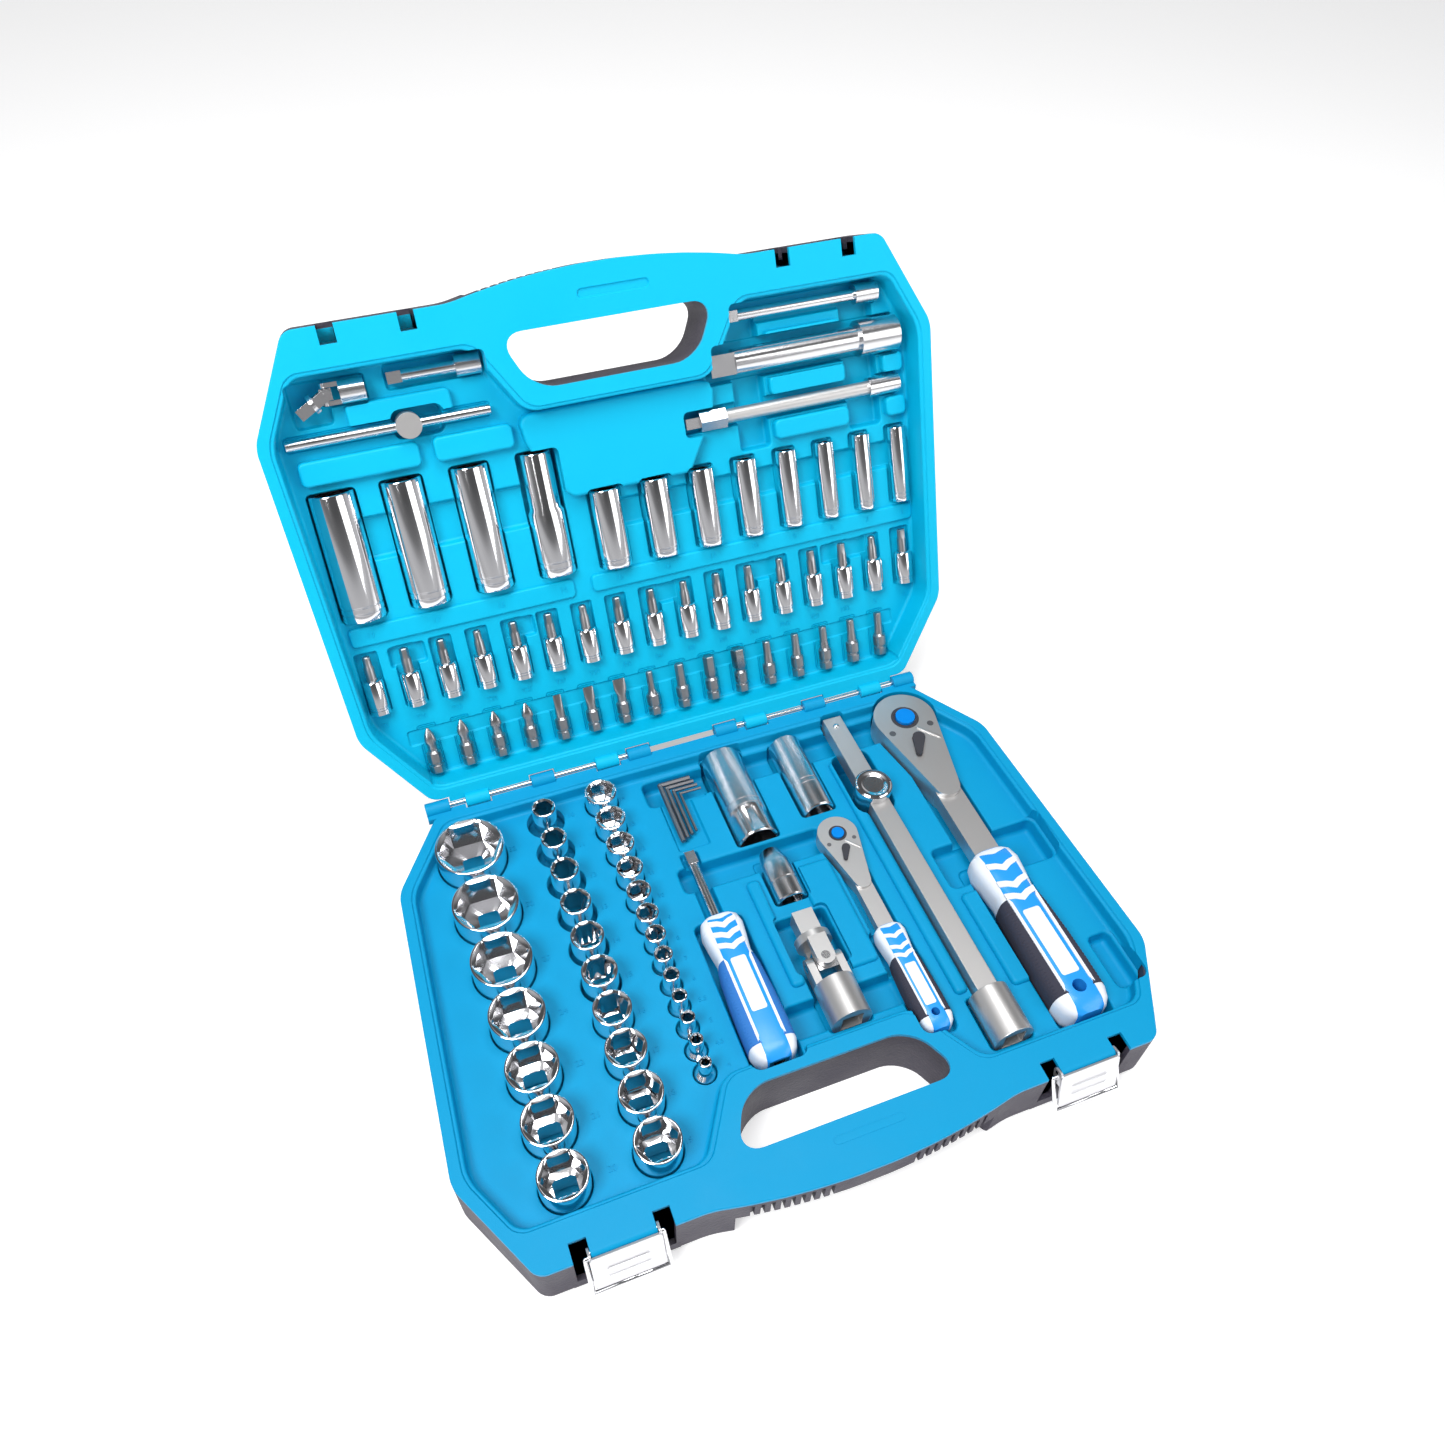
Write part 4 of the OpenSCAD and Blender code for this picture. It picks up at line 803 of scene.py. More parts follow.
@dataclass
class Shell:
    """The dark outer shell of one half of the case.

    Args:
        half: the half of the case.
        plan: the case's outline.
        depth: from the rim to the outside of the floor.
        wall: the wall's thickness.
        rim: the height of the shell's upper edge.
        grip_h: the grip's height below the rim.
        ribs: the number of grooves on each side of the grip.
        rib_first: the first groove's distance from the middle.
        rib_pitch: the distance from groove to groove.
        rib_half: half a groove's width.
        boss_half: half the width of the block behind a latch.
        boss_d: that block's depth.
        catch: the lid's groove for a bail, as half its width, its back and its two heights.
    """

    half: Half
    plan: CasePlan = field(default_factory=CasePlan)
    depth: float = 40.0
    wall: float = 2.4
    rim: float = -2.5
    grip_h: float = 18.0
    ribs: int = 9
    rib_first: float = 24.0
    rib_pitch: float = 5.2
    rib_half: float = 1.1
    boss_half: float = 28.0
    boss_d: float = 12.4
    catch: tuple[float, float, float, float] = (25.6, 280.3, -17.2, -12.6)

    def build(self) -> bpy.types.Object:
        """Builds the shell with its cavity, hand opening, grip and grip ribs."""
        body = slab(self.plan.full(), -self.depth, self.rim, 5, 5)
        soften(body, edges_at(body, -self.depth), 4.0, 5)
        cavity = slab(self.plan.within(self.wall), self.wall - self.depth, 10, 3)
        (fx, fs), out = self.plan.gap_front, 12.0
        lean = (self.plan.grip_half - fx) / GRIP_FLARE
        under = slab(both_sides([(fx - lean, fs - 1), (fx + lean * (self.plan.front + out - fs),
                                                       self.plan.front + out)]),
                     -self.depth - 5, -self.grip_h, 0)
        bosses = [box_solid((x - self.boss_half, self.plan.front - self.boss_d, self.wall - self.depth),
                            (x + self.boss_half, self.plan.front - 0.05, self.rim))
                  for x in (-self.plan.latch_x, self.plan.latch_x)]
        body = combine(body, [cavity], Join.CUT)
        body = combine(body, bosses, Join.ADD)
        body = combine(body, [self.plan.gap(), under, *self.plan.notches(), *self.rib_cuts()], Join.CUT)
        if self.half is LID:
            wide, back, low, high = self.catch
            grooves = [box_solid((x - wide, back, low), (x + wide, self.plan.front + 4, high))
                       for x in (-self.plan.latch_x, self.plan.latch_x)]
            body = combine(body, grooves, Join.CUT)
        return piece(f"{self.half.name}_shell_moulding", body, self.half, self.half.body,
                     SHELL_DARK.build(), [f"{self.half.name}_shell"], weighted=True)

    def rib_cuts(self) -> list[bmesh.types.BMesh]:
        """Builds the grooves that leave grip ribs on the front of the carrying grip."""
        cuts = []
        for side in (-1, 1):
            for i in range(self.ribs):
                x = side * (self.rib_first + i * self.rib_pitch)
                cuts.append(box_solid((x - self.rib_half, self.plan.front + 2.2, -self.grip_h - 2),
                                      (x + self.rib_half, 300, -5)))
        return cuts


UNDER = 0.6
Box = tuple[float, float, float, float]


@dataclass
class Tray:
    """A moulded tray: rim, recess and the pockets and troughs in it.

    Args:
        half: the half of the case.
        finish: the tray's finish.
        recess_z: the height of the recess's floor.
        plan: the case's outline.
        top: the height of the rim.
        depth: from the rim's plane to the tray's underside.
        gap: the room round a piece in its pocket.
        cuts: the pockets and troughs.
        islands: the raised parts of the recess's floor.
    """

    half: Half
    finish: Finish
    recess_z: float
    plan: CasePlan = field(default_factory=CasePlan)
    top: float = -0.2
    depth: float = 37.0
    gap: float = 1.0
    cuts: list[Pocket] = field(default_factory=list)
    islands: list[bmesh.types.BMesh] = field(default_factory=list)

    def around(self, node: str, corner: float = 2.6) -> None:
        """Adds a pocket round each solid of a node."""
        for low, high in self.half.solids(node):
            self.fit(low, high, self.gap, low.z - UNDER, corner)

    def fit(self, low: Vector, high: Vector, room: float, floor_z: float, corner: float) -> None:
        """Adds a pocket round a box, with some room on each side."""
        self.cuts.append(Pocket(box_outline(low.x - room, low.y - room, high.x + room, high.y + room),
                                self.recess_z, floor_z, corner))

    def column(self, node: str) -> None:
        """Adds round pockets for a column of standing pieces, and the slot that joins them."""
        boxes = self.half.solids(node)
        for low, high in boxes:
            middle = (low + high) / 2
            self.cuts.append(Pocket(disc_outline(middle.x, middle.y, (high.x - low.x) / 2 + 0.7),
                                    self.recess_z, low.z - UNDER, 0.0, lip=0.8, fillet=1.0))
        first, last = boxes[0], boxes[-1]
        reach = 0.2 * min(h.x - l.x for l, h in boxes)
        x = (first[0].x + first[1].x) / 2
        self.cuts.append(Pocket(box_outline(x - reach, first[0].y + 6, x + reach, last[1].y - 6),
                                self.recess_z, first[0].z + 8, 1.0, lip=0.5, fillet=0.4))

    def hollow(self, x0: float, s0: float, x1: float, s1: float, deep: float, corner: float = 4.0,
               lip: float = 1.4, fillet: float = 2.0) -> None:
        """Adds a rectangular hollow, some depth below the recess."""
        self.cuts.append(Pocket(box_outline(x0, s0, x1, s1), self.recess_z, self.recess_z - deep,
                                corner, lip, fillet))

    def island(self, outline: Sequence[Point], high: float, corner: float = 3.0, soft: float = 1.2) -> None:
        """Adds a raised part of the recess floor."""
        mesh = slab(outline, self.recess_z - 1, self.recess_z + high, corner)
        self.islands.append(soften(mesh, edges_at(mesh, self.recess_z + high), soft))

    def mould(self) -> bmesh.types.BMesh:
        """Builds the tray's shape."""
        body = slab(self.plan.full(), -2.5, self.top, 5, 5)
        soften(body, edges_at(body, self.top), 0.7, 3)
        block = slab(self.plan.within(2.9), -self.depth, -2.2, 3)
        body = combine(body, [block], Join.ADD)
        step = Pocket(self.plan.recess(-2.4), self.top, self.top - 1.1, 6, 0.4, 0.3)
        recess = Pocket(self.plan.recess(), self.top - 1.1, self.recess_z, 6, 1.3, 2.4)
        body = combine(body, [step.cutter(), recess.cutter()], Join.CUT)
        body = combine(body, self.islands, Join.ADD)
        body = combine(body, [c.cutter() for c in self.cuts], Join.CUT)
        body = combine(body, [self.plan.gap(), *self.plan.notches()], Join.CUT)
        return body


KNUCKLE_HALF = 7.5
BASE_KNUCKLES = (160.99, 93.93, 30.1)
LID_KNUCKLES = (135.95, 51.5)


def keep_knuckles(tray: bmesh.types.BMesh, half: Half, places: Sequence[float]) -> bmesh.types.BMesh:
    """Adds the hinge knuckles, bored for the rod, to a tray."""
    rings = []
    for side in (-1, 1):
        for x in places:
            ring = turned([(0, 4.1), (0.4, 4.5), (14.6, 4.5), (15, 4.1), (15, 1.56), (0, 1.56), (0, 4.1)],
                          ends=False)
            bmesh.ops.transform(ring, matrix=lies_along_x(side * x - 7.5, 0, 0), verts=ring.verts)
            rings.append(ring)
            web = slab(box_outline(side * x - 7.5, 2.5, side * x + 7.5, 7.5), -4.5, -0.2)
            rings.append(web)
    return combine(tray, rings, Join.ADD)


def hinge_ledges(own: Sequence[float], other: Sequence[float]) -> list[bmesh.types.BMesh]:
    """Builds the narrow ledges beside the rods, between a tray's knuckles and the other tray's.

    Args:
        own: the places of the tray's own knuckles on one side of the middle.
        other: the places of the other tray's knuckles.
    """
    stops = sorted([(x - KNUCKLE_HALF, x + KNUCKLE_HALF) for x in own]
                   + [(x - KNUCKLE_HALF - 0.8, x + KNUCKLE_HALF + 0.8) for x in other])
    ledges = []
    for (_, first), (last, _) in zip(stops, stops[1:]):
        for x0, x1 in ((first, last), (-last, -first)):
            ledges.append(slab(box_outline(x0 - 0.1, 1.9, x1 + 0.1, 6.5), -2.6, -0.25))
    inner = stops[0][0]
    ledges.append(slab(box_outline(-inner - 0.1, 1.9, inner + 0.1, 6.5), -2.6, -0.25))
    return ledges


@dataclass
class BaseTray(Tray):
    """The base's tray, with a pocket for each of the base's tools.

    Args:
        ratchets: each ratchet's name, scale, and reach from head to handle end.
        key_hollows: the hollows for the hexagon keys, as x, s, x, s.
        joint_hollows: the hollows for the universal joint.
        finger_troughs: the troughs that let fingers reach under the tools.
        end_trough: the trough beside the large ratchet's handle.
        pads: the raised parts between the tools.
        rib: the outline of the mark on the front rim.
    """

    half: Half = BASE
    finish: Finish = TRAY_BLUE
    recess_z: float = -10.0
    depth: float = 37.2
    ratchets: tuple[tuple[str, float, float], ...] = (("half", 1.0, 229.0), ("quarter", 0.604, 138.316))
    key_hollows: tuple[Box, ...] = ((-28.5, 22, -8, 76), (-28.5, 22, 2.5, 40))
    joint_hollows: tuple[Box, ...] = ((7, 142, 39, 180), (9.6, 175.5, 36.4, 218))
    finger_troughs: tuple[Box, ...] = ((-35, 18, 138, 38), (-35, 88, 60, 106), (-10, 195, 60, 215),
                                       (118, 128, 190, 158))
    end_trough: Box = (176, 215, 190, 250)
    pads: tuple[Box, ...] = ((85.5, 44, 93.5, 222), (119, 164, 138, 228), (33, 112, 55, 186),
                             (0.5, 112, 9, 186))
    rib: Box = (-16, 274, 24, 278.4)

    def deep(self, low: Vector, more: float = 0.7) -> float:
        """Gives how deep a hollow is whose floor clears a piece."""
        return self.recess_z - (low.z - more)

    def tools(self) -> None:
        """Adds the pockets that follow the tools."""
        for column in ("sockets_large", "sockets_medium", "sockets_small"):
            self.column(column)
        for name, k, reach in self.ratchets:
            self.cuts += ratchet_pockets(name, k, reach)
        low, high = BASE.box("spinner_handle")
        self.hollow(low.x - 1.4, low.y - 1.4, high.x + 1.4, high.y + 2, self.deep(low), 5, 1.2)
        tip = BASE.box("spinner_shank")[0]
        self.hollow(low.x + 8, tip.y - 1.5, high.x - 8, low.y + 4, 4.5, 2, 1)
        for hollow in self.key_hollows:
            self.hollow(*hollow, 2.0, 2, 0.8, 0.8)
        low, high = BASE.box("slide_bar")
        self.hollow(low.x + 4.6, low.y - 1.2, high.x - 4.6, high.y - 20, self.deep(low, -5.7), 2, 0.9, 0.6)
        self.hollow(low.x - 1.2, high.y - 31.5, high.x + 1.2, high.y + 1.2, self.deep(low), 3)
        low, high = BASE.box("slide_head")
        self.hollow(low.x - 1.2, low.y - 26.2, high.x + 1.2, high.y + 1.2, self.deep(low), 8)

    def build(self) -> bpy.types.Object:
        """Builds the tray with its knuckles, rib, ledges and latch bosses."""
        self.tools()
        for hollow in self.joint_hollows:
            self.hollow(*hollow, 11.8, 3)
        for node in ("spark_socket_21", "spark_socket_16", "bit_adapter"):
            self.around(node, 3)
        for trough in self.finger_troughs:
            self.hollow(*trough, 11.5, 4.5, 1.8, 3)
        self.hollow(*self.end_trough, 9, 4.5, 1.8, 3)
        for pad in self.pads:
            self.island(box_outline(*pad), 3.2, 3, 2.4)
        body = keep_knuckles(self.mould(), BASE, BASE_KNUCKLES)
        rib = slab(box_outline(*self.rib), -0.6, 0.1, 2)
        body = combine(body, [soften(rib, edges_at(rib, 0.1), 0.25, 2),
                              *hinge_ledges(BASE_KNUCKLES, LID_KNUCKLES)], Join.ADD)
        places = (-self.plan.latch_x, self.plan.latch_x)
        pins = [cylinder_between((x - 18.3, *LATCH_PIN), 36.6, PIN_BORE) for x in places]
        body = combine(body, [*pins, *(nose_cut(x) for x in places)], Join.CUT)
        return piece("base_tray_moulding", body, BASE, "case_base", self.finish.build(), ["base_tray"],
                     weighted=True)


LATCH_PIN = (283.0, -3.2)
PIN_BORE = 1.26
NOSE_RADIUS = 3.0


def cylinder_between(start: Sequence[float], length: float, radius: float) -> bmesh.types.BMesh:
    """Builds a round bar along x from a point."""
    bar = turned([(0, radius), (length, radius)], 24)
    bmesh.ops.transform(bar, matrix=lies_along_x(*start), verts=bar.verts)
    return bar


def nose_cut(x: float) -> bmesh.types.BMesh:
    """Builds what is taken off a latch boss to round its top front edge."""
    s, z = LATCH_PIN
    block = box_solid((x - 17.6, s, z), (x + 17.6, s + 7, 4))
    return combine(block, [cylinder_between((x - 30, s, z), 60, NOSE_RADIUS)], Join.CUT)


def ratchet_pockets(name: str, k: float, reach: float) -> list[Pocket]:
    """Gives the pockets of a ratchet: head, shank, handle and drive square.

    Args:
        name: "half" or "quarter".
        k: its scale against the larger ratchet.
        reach: the length from the head's middle to the handle's end.

    Returns:
        The four pockets.
    """
    low, high = BASE.box(f"{name}_ratchet_body")
    x, s = (low.x + high.x) / 2, low.y + 21 * k
    drop = BASE.box(f"{name}_ratchet_drive")[0].z
    head = low.z - 0.7
    handle = BASE.box(f"{name}_ratchet_handle")[0].z - 0.7
    wide = 16.5 * k + 1.3
    start = s + reach - 118 * k
    return [
        Pocket(teardrop(x, s, 21 * k + 1.2, 8.5 * k + 1.2, 60 * k), -10, head, 0, fillet=1.0),
        Pocket(box_outline(x - 13 * k - 1, s + 34 * k, x + 13 * k + 1, start + 4), -10, head, 3),
        Pocket(box_outline(x - wide, start, x + wide, s + reach + 1.5), -10, handle, 5, 1.3, 2.0),
        Pocket(box_outline(x - 10 * k - 0.7, s - 10 * k - 0.7, x + 10 * k + 0.7, s + 10 * k + 0.7),
               head + 0.8, drop - 0.6, 2, 0.4, 0.6)]


def teardrop(x: float, s: float, big: float, small: float, apart: float) -> list[Point]:
    """Gives the outline of two circles joined by their tangents, the larger one first."""
    lean = math.asin((big - small) / apart)
    points = []
    for radius, along, first, last in ((big, 0.0, math.pi - lean, 2 * math.pi + lean),
                                       (small, apart, lean, math.pi - lean)):
        count = 20 if radius == big else 8
        for i in range(count + 1):
            turn = first + (last - first) * i / count
            points.append((x + radius * math.cos(turn), s + along + radius * math.sin(turn)))
    return points


@dataclass
class LidTray(Tray):
    """The lid's tray, with a pocket for each of the lid's tools.

    Args:
        joint_pockets: the universal joint's pockets, each as a box and a corner.
        broad_hollows: the long hollows under the deep sockets.
        foot_groove: the shallow groove at the loose bits' feet.
        foot_hollows: each small hollow's ends between the socket rows.
        finger_hollows: each finger hollow's ends beside the extensions.
        pads: the raised parts between the tools.
        shelves: the low steps behind the bit sockets.
        panel: the raised panel's right side.
        mark: the groove in the grip's rim.
        seat: a bail's seat, as half its width, its back and its two heights.
    """

    half: Half = LID
    finish: Finish = LID_BLUE
    recess_z: float = -20.0
    depth: float = 37.2
    joint_pockets: tuple[tuple[Box, float], ...] = (((-179.8, 233.6, -159, 258.2), 3),
                                                    ((-160.4, 242.8, -137.8, 257.8), 2.4))
    broad_hollows: tuple[tuple[Box, float], ...] = (((-184, 155, -56, 180), 5), ((-27, 143, 188, 160), 4))
    foot_groove: Box = (-167, 36, 167, 46)
    foot_hollows: tuple[Point, ...] = ((-165, -143), (-95, -75), (5, 20), (65, 95), (120, 155))
    finger_hollows: tuple[Point, ...] = ((75, 95), (150, 172))
    pads: tuple[Box, ...] = ((-185, 203, -118, 217), (-110, 203, -64, 217), (-152, 229, -94, 243),
                             (97, 234, 148, 241), (97, 203, 148, 215), (97, 176, 148, 188),
                             (174, 203, 188, 215), (174, 176, 188, 188))
    shelves: tuple[Box, ...] = ((-184, 106, -46, 118), (-35, 106, 188, 117))
    panel: tuple[Point, ...] = ((38, 168), (58, 202), (60, 218), (52, 221))
    mark: Box = (-15, 277.4, 27, 282.6)
    seat: Box = (26.2, 279.4, -18, -11.8)

    def tools(self) -> None:
        """Adds the pockets that follow the tools."""
        for node, corner in (("deep_sockets_half", 3.0), ("deep_sockets_quarter", 2.4),
                             ("driver_bits", 1.6)):
            self.around(node, corner)
        for low, high in LID.solids("bit_sockets"):
            self.cuts.append(Pocket(box_outline(low.x - 0.9, low.y - 1, high.x + 0.9, high.y + 16.2),
                                    self.recess_z, low.z - UNDER, 1.8, 0.6, 0.8))
        for node in ("extension_short", "extension_long", "extension_half", "flex_ends", "tbar_rod"):
            low, high = LID.box(node)
            self.fit(low, high, 1, min(low.z - UNDER, self.recess_z - 0.9), 2.6)
        low, high = LID.box("tbar_head")
        self.cuts.append(Pocket(box_outline(low.x - 1, low.y - 1, high.x + 13, high.y + 1),
                                self.recess_z, low.z - 0.7, 5))
        for outline, corner in self.joint_pockets:
            self.cuts.append(Pocket(box_outline(*outline), self.recess_z, self.recess_z - 2.9, corner))

    def build(self) -> bpy.types.Object:
        """Builds the tray with its knuckles, ledges, mark and bail seats."""
        self.tools()
        for hollow, deep in self.broad_hollows:
            self.hollow(*hollow, deep, 4, 1.6, 2)
        self.hollow(*self.foot_groove, 1.2, 2, 0.6, 0.4)
        for x0, x1 in self.foot_hollows:
            self.hollow(x0, 88, x1, 101, 4, 2.4, 1, 1.5)
        for x0, x1 in self.finger_hollows:
            self.hollow(x0, 172, x1, 250, 8, 3, 1.4, 2)
        self.island(both_sides(self.panel), 9, 4, 2.2)
        for pad in self.pads:
            self.island(box_outline(*pad), 6, 3.4, 1.8)
        for shelf in self.shelves:
            self.island(box_outline(*shelf), 2.2, 3, 1.4)
        body = keep_knuckles(self.mould(), LID, LID_KNUCKLES)
        body = combine(body, hinge_ledges(LID_KNUCKLES, BASE_KNUCKLES), Join.ADD)
        groove = Pocket(box_outline(*self.mark), self.top, -1.4, 2.5, 0.3, 0.3)
        wide, back, low, high = self.seat
        seats = [box_solid((x - wide, back, low), (x + wide, self.plan.front + 4, high))
                 for x in (-self.plan.latch_x, self.plan.latch_x)]
        body = combine(body, [groove.cutter(), *seats], Join.CUT)
        return piece("lid_tray_moulding", body, LID, "case_lid", self.finish.build(), ["lid_tray"],
                     weighted=True)


# ---------------------------------------------------------------- sockets


@dataclass(frozen=True)
class SocketShape:
    """A hexagon socket that stands or lies on its axis.

    Args:
        size: the hexagon's width across flats.
        radius: the body's radius.
        ring: the drive end's radius where that is larger, or 0.
        length: from the drive end to the mouth.
        square: the drive square's width.
        deep: the hexagon's depth as a share of the length.
        narrow: the radius above the middle for a stepped deep socket, or 0.
    """

    size: float
    radius: float
    ring: float
    length: float
    square: float
    deep: float = 0.55
    narrow: float = 0.0

    def build(self) -> bmesh.types.BMesh:
        """Builds the socket about the z axis, its drive end at z = 0."""
        length, flat = self.length, self.size / 2
        foot = self.ring or self.radius
        top = self.narrow or self.radius
        rings = [Section(0, foot - 0.7), Section(0.2, foot - 0.3), Section(0.7, foot)]
        if self.ring:
            rings += [Section(0.42 * length - 0.4, foot), Section(0.42 * length, foot - 0.3),
                      Section(0.52 * length, self.radius)]
        for at in (0.16, 0.22) if length < 45 else (0.07, 0.12):
            rings += [Section(at * length - 0.5, foot), Section(at * length - 0.3, foot - 0.35),
                      Section(at * length + 0.3, foot - 0.35), Section(at * length + 0.5, foot)]
        if self.ring:
            rings = rings[:3] + rings[6:] + rings[3:6]
        if self.narrow:
            rings += [Section(0.52 * length, self.radius), Section(0.56 * length, top)]
        corner = flat / math.cos(math.pi / 6)
        lip = min(corner + 0.7, top - 0.9)
        rings += [Section(length - 0.9, top), Section(length - 0.3, top - 0.25), Section(length, top - 0.8),
                  Section(length, lip), Section(length - 0.9, flat + 0.05, 6, corner),
                  Section(length * (1 - self.deep), flat, 6, corner),
                  Section(length * (1 - self.deep) - 0.8, self.square * 0.62),
                  Section(length * (1 - self.deep) - 0.9, self.square / 2, 4, self.square * 0.68),
                  Section(0.8, self.square / 2, 4, self.square * 0.68), Section(0, self.square * 0.66),
                  Section(0, foot - 0.7)]
        return loft(rings, ends=False)


@dataclass
class SocketRow:
    """A column or row of sockets that are held together in the case."""

    node: str
    body: str
    half: Half
    sizes: Sequence[float]
    square: float
    length: float
    lying: bool = False
    ring: float = 0.0
    deep: float = 0.55
    stepped: Sequence[float] = ()

    def build(self) -> bpy.types.Object:
        """Builds every socket of the row as one piece."""
        whole = bmesh.new()
        for size, (low, high) in zip(self.sizes, self.half.solids(self.node)):
            wide = high.x - low.x
            od = 1.2 * size + 2.8 if self.square > 10 else 1.3 * size + 2
            ring = wide / 2 if self.ring and od < self.ring else 0.0
            narrow = (1.2 * size + 2.4) / 2 if size in self.stepped else 0.0
            shape = SocketShape(size, od / 2 if ring else wide / 2, ring, self.length, self.square,
                                self.deep, narrow)
            x, s = (low.x + high.x) / 2, (low.y + high.y) / 2
            place = (lies_along_s(x, low.y, (low.z + high.z) / 2) if self.lying
                     else Matrix.Translation((x, s, high.z - self.length)))
            join(whole, shape.build(), place)
        return piece(f"{self.node}_turned", whole, self.half, self.body, CHROME.build(), [self.node])


SOCKET_ROWS = (
    SocketRow("sockets_large", "large_sockets", BASE, (32, 30, 27, 24, 22, 21, 20), 12.7, 38),
    SocketRow("sockets_medium", "medium_sockets", BASE, (10, 11, 12, 13, 14, 15, 16, 17, 18, 19),
              12.7, 38, ring=22),
    SocketRow("sockets_small", "small_sockets", BASE, (14, 13, 12, 11, 10, 9, 8, 7, 6, 5.5, 5, 4.5, 4),
              6.35, 25, ring=12),
    SocketRow("deep_sockets_half", "deep_half", LID, (19, 17, 15, 14), 12.7, 75, True, deep=0.6,
              stepped=(14,)),
    SocketRow("deep_sockets_quarter", "deep_quarter", LID, (13, 12, 11, 10, 9, 8, 7, 6), 6.35, 49, True,
              deep=0.6),
)


@dataclass(frozen=True)
class SparkSocket:
    """A long spark plug socket.

    Args:
        size: the hexagon's width across flats.
        radius: the body's radius.
        length: from the drive end to the mouth.
        hexed: True for a hexagon outside at the mouth.
    """

    size: int
    radius: float
    length: float
    hexed: bool = False

    def build(self) -> bpy.types.Object:
        """Builds the socket with its grooves, hexagon and drive square."""
        radius, length, flat = self.radius, self.length, self.size / 2
        low, high = BASE.box(f"spark_socket_{self.size}")
        corner = flat / math.cos(math.pi / 6)
        foot = [Section(0, radius - 1), Section(0.9, radius)]
        waist = []
        for at in (0.62, 0.68):
            waist += [Section(at * length - 0.6, radius), Section(at * length - 0.3, radius - 0.4),
                      Section(at * length + 0.3, radius - 0.4), Section(at * length + 0.6, radius)]
        start = 0.72 * length
        mouth = ([Section(start, radius - 0.2), Section(start + 1, radius * 0.9, 6, radius),
                  Section(length - 2.5, radius * 0.9, 6, radius)] if self.hexed else [])
        tube = [Section(length - 0.9, radius * 0.97), Section(length, radius - 1.1),
                Section(length, corner + 0.1), Section(length - 0.8, flat, 6, corner),
                Section(12, flat, 6, corner), Section(11.8, 7.4), Section(11.6, 5, 4, 6.9),
                Section(0, 5, 4, 6.9), Section(0, radius - 1)]
        body = loft([*foot, *waist, *mouth, *tube], ends=False)
        place = lies_along_s((low.x + high.x) / 2, low.y, TOOL_AXIS)
        bmesh.ops.transform(body, matrix=place, verts=body.verts)
        return piece(f"spark_socket_{self.size}_turned", body, BASE, f"spark_{self.size}",
                     BRIGHT_STEEL.build(), [f"spark_socket_{self.size}"])


@dataclass(frozen=True)
class BitAdapter:
    """The adapter that holds a bit in a 1/2 inch drive.

    Args:
        length: its length.
        radius: its body's radius.
        square: the drive square's width.
    """

    length: float = 38.0
    radius: float = 10.0
    square: float = 12.7

    def build(self) -> bpy.types.Object:
        """Builds the adapter with its taper, groove, bit hexagon and drive square."""
        low, high = BASE.box("bit_adapter")
        end, radius, half_square = self.length, self.radius, self.square / 2
        body = loft([Section(0, 5.9), Section(0.4, 6.3), Section(10, 9.6), Section(11.4, radius),
                     Section(24, radius), Section(24.4, 9.6), Section(25.4, 9.6), Section(25.8, radius),
                     Section(end - 0.8, radius), Section(end, 9.2), Section(end, 8.6),
                     Section(end - 0.6, half_square, 4, 8.5), Section(23.2, half_square, 4, 8.5),
                     Section(23, 5.0), Section(12.8, 4.07, 6, 4.6), Section(0, 4.07, 6, 4.6),
                     Section(0, 5.9)], ends=False)
        place = lies_along_s((low.x + high.x) / 2, low.y, TOOL_AXIS)
        bmesh.ops.transform(body, matrix=place, verts=body.verts)
        return piece("bit_adapter_turned", body, BASE, "adapter", BRIGHT_STEEL.build(), ["bit_adapter"])


TOOL_AXIS = -12.0
HEAD_RADIUS = 21.0
RATCHET_SCALES = (("half", 1.0), ("quarter", 0.604))
SPARK_SOCKETS = (SparkSocket(21, 13.5, 70.0, True), SparkSocket(16, 11.0, 60.0))


class Tip(Enum):
    """The shape of a loose bit's end."""

    CROSS = "cross"
    FLAT = "flat"
    HEXAGON = "hexagon"
    STAR = "star"


@dataclass(frozen=True)
class DriverBit:
    """A loose driver bit: a hexagon shank with a groove, and its tip.

    Args:
        tip: the shape of its end.
        wide: the half width of a flat or hexagon end.
        flat: half the shank's width across flats.
        corner: the largest reach of the shank's corners.
        length: its length.
    """

    tip: Tip
    wide: float = 0.0
    flat: float = 4.2
    corner: float = 4.6
    length: float = 30.0

    def ends(self) -> list[Section]:
        """Gives the rings of the tip."""
        wide, end = self.wide, self.length
        if self.tip is Tip.CROSS:
            return [Section(19, 2.9), Section(22, 3.6, 4, 4.3), Section(25.5, 3.0, 4, 3.6),
                    Section(end, 0.5, 4)]
        if self.tip is Tip.FLAT:
            return [Section(19, 3.0), Section(23, wide, tall=2.2, power=4),
                    Section(end - 0.6, wide, tall=0.5, power=6), Section(end, wide - 0.4, tall=0.4, power=6)]
        if self.tip is Tip.HEXAGON:
            return [Section(18, wide, 6), Section(end - 0.6, wide, 6), Section(end, wide - 0.4, 6)]
        return [Section(18.5, 2.9), Section(20, 2.6, 6, 2.8), Section(29.5, 2.5, 6, 2.7),
                Section(end, 2.1, 6)]

    def build(self) -> bmesh.types.BMesh:
        """Builds the bit about the z axis."""
        flat, corner = self.flat, self.corner
        shank = [Section(0, 3.6, 6), Section(0.6, flat, 6, corner), Section(5, flat, 6, corner),
                 Section(5.5, 3.7), Section(6.7, 3.7), Section(7.2, flat, 6, corner),
                 Section(13.6, flat, 6, corner), Section(15, 3.1)]
        return loft([*shank, *self.ends()], SMALL_STEPS)


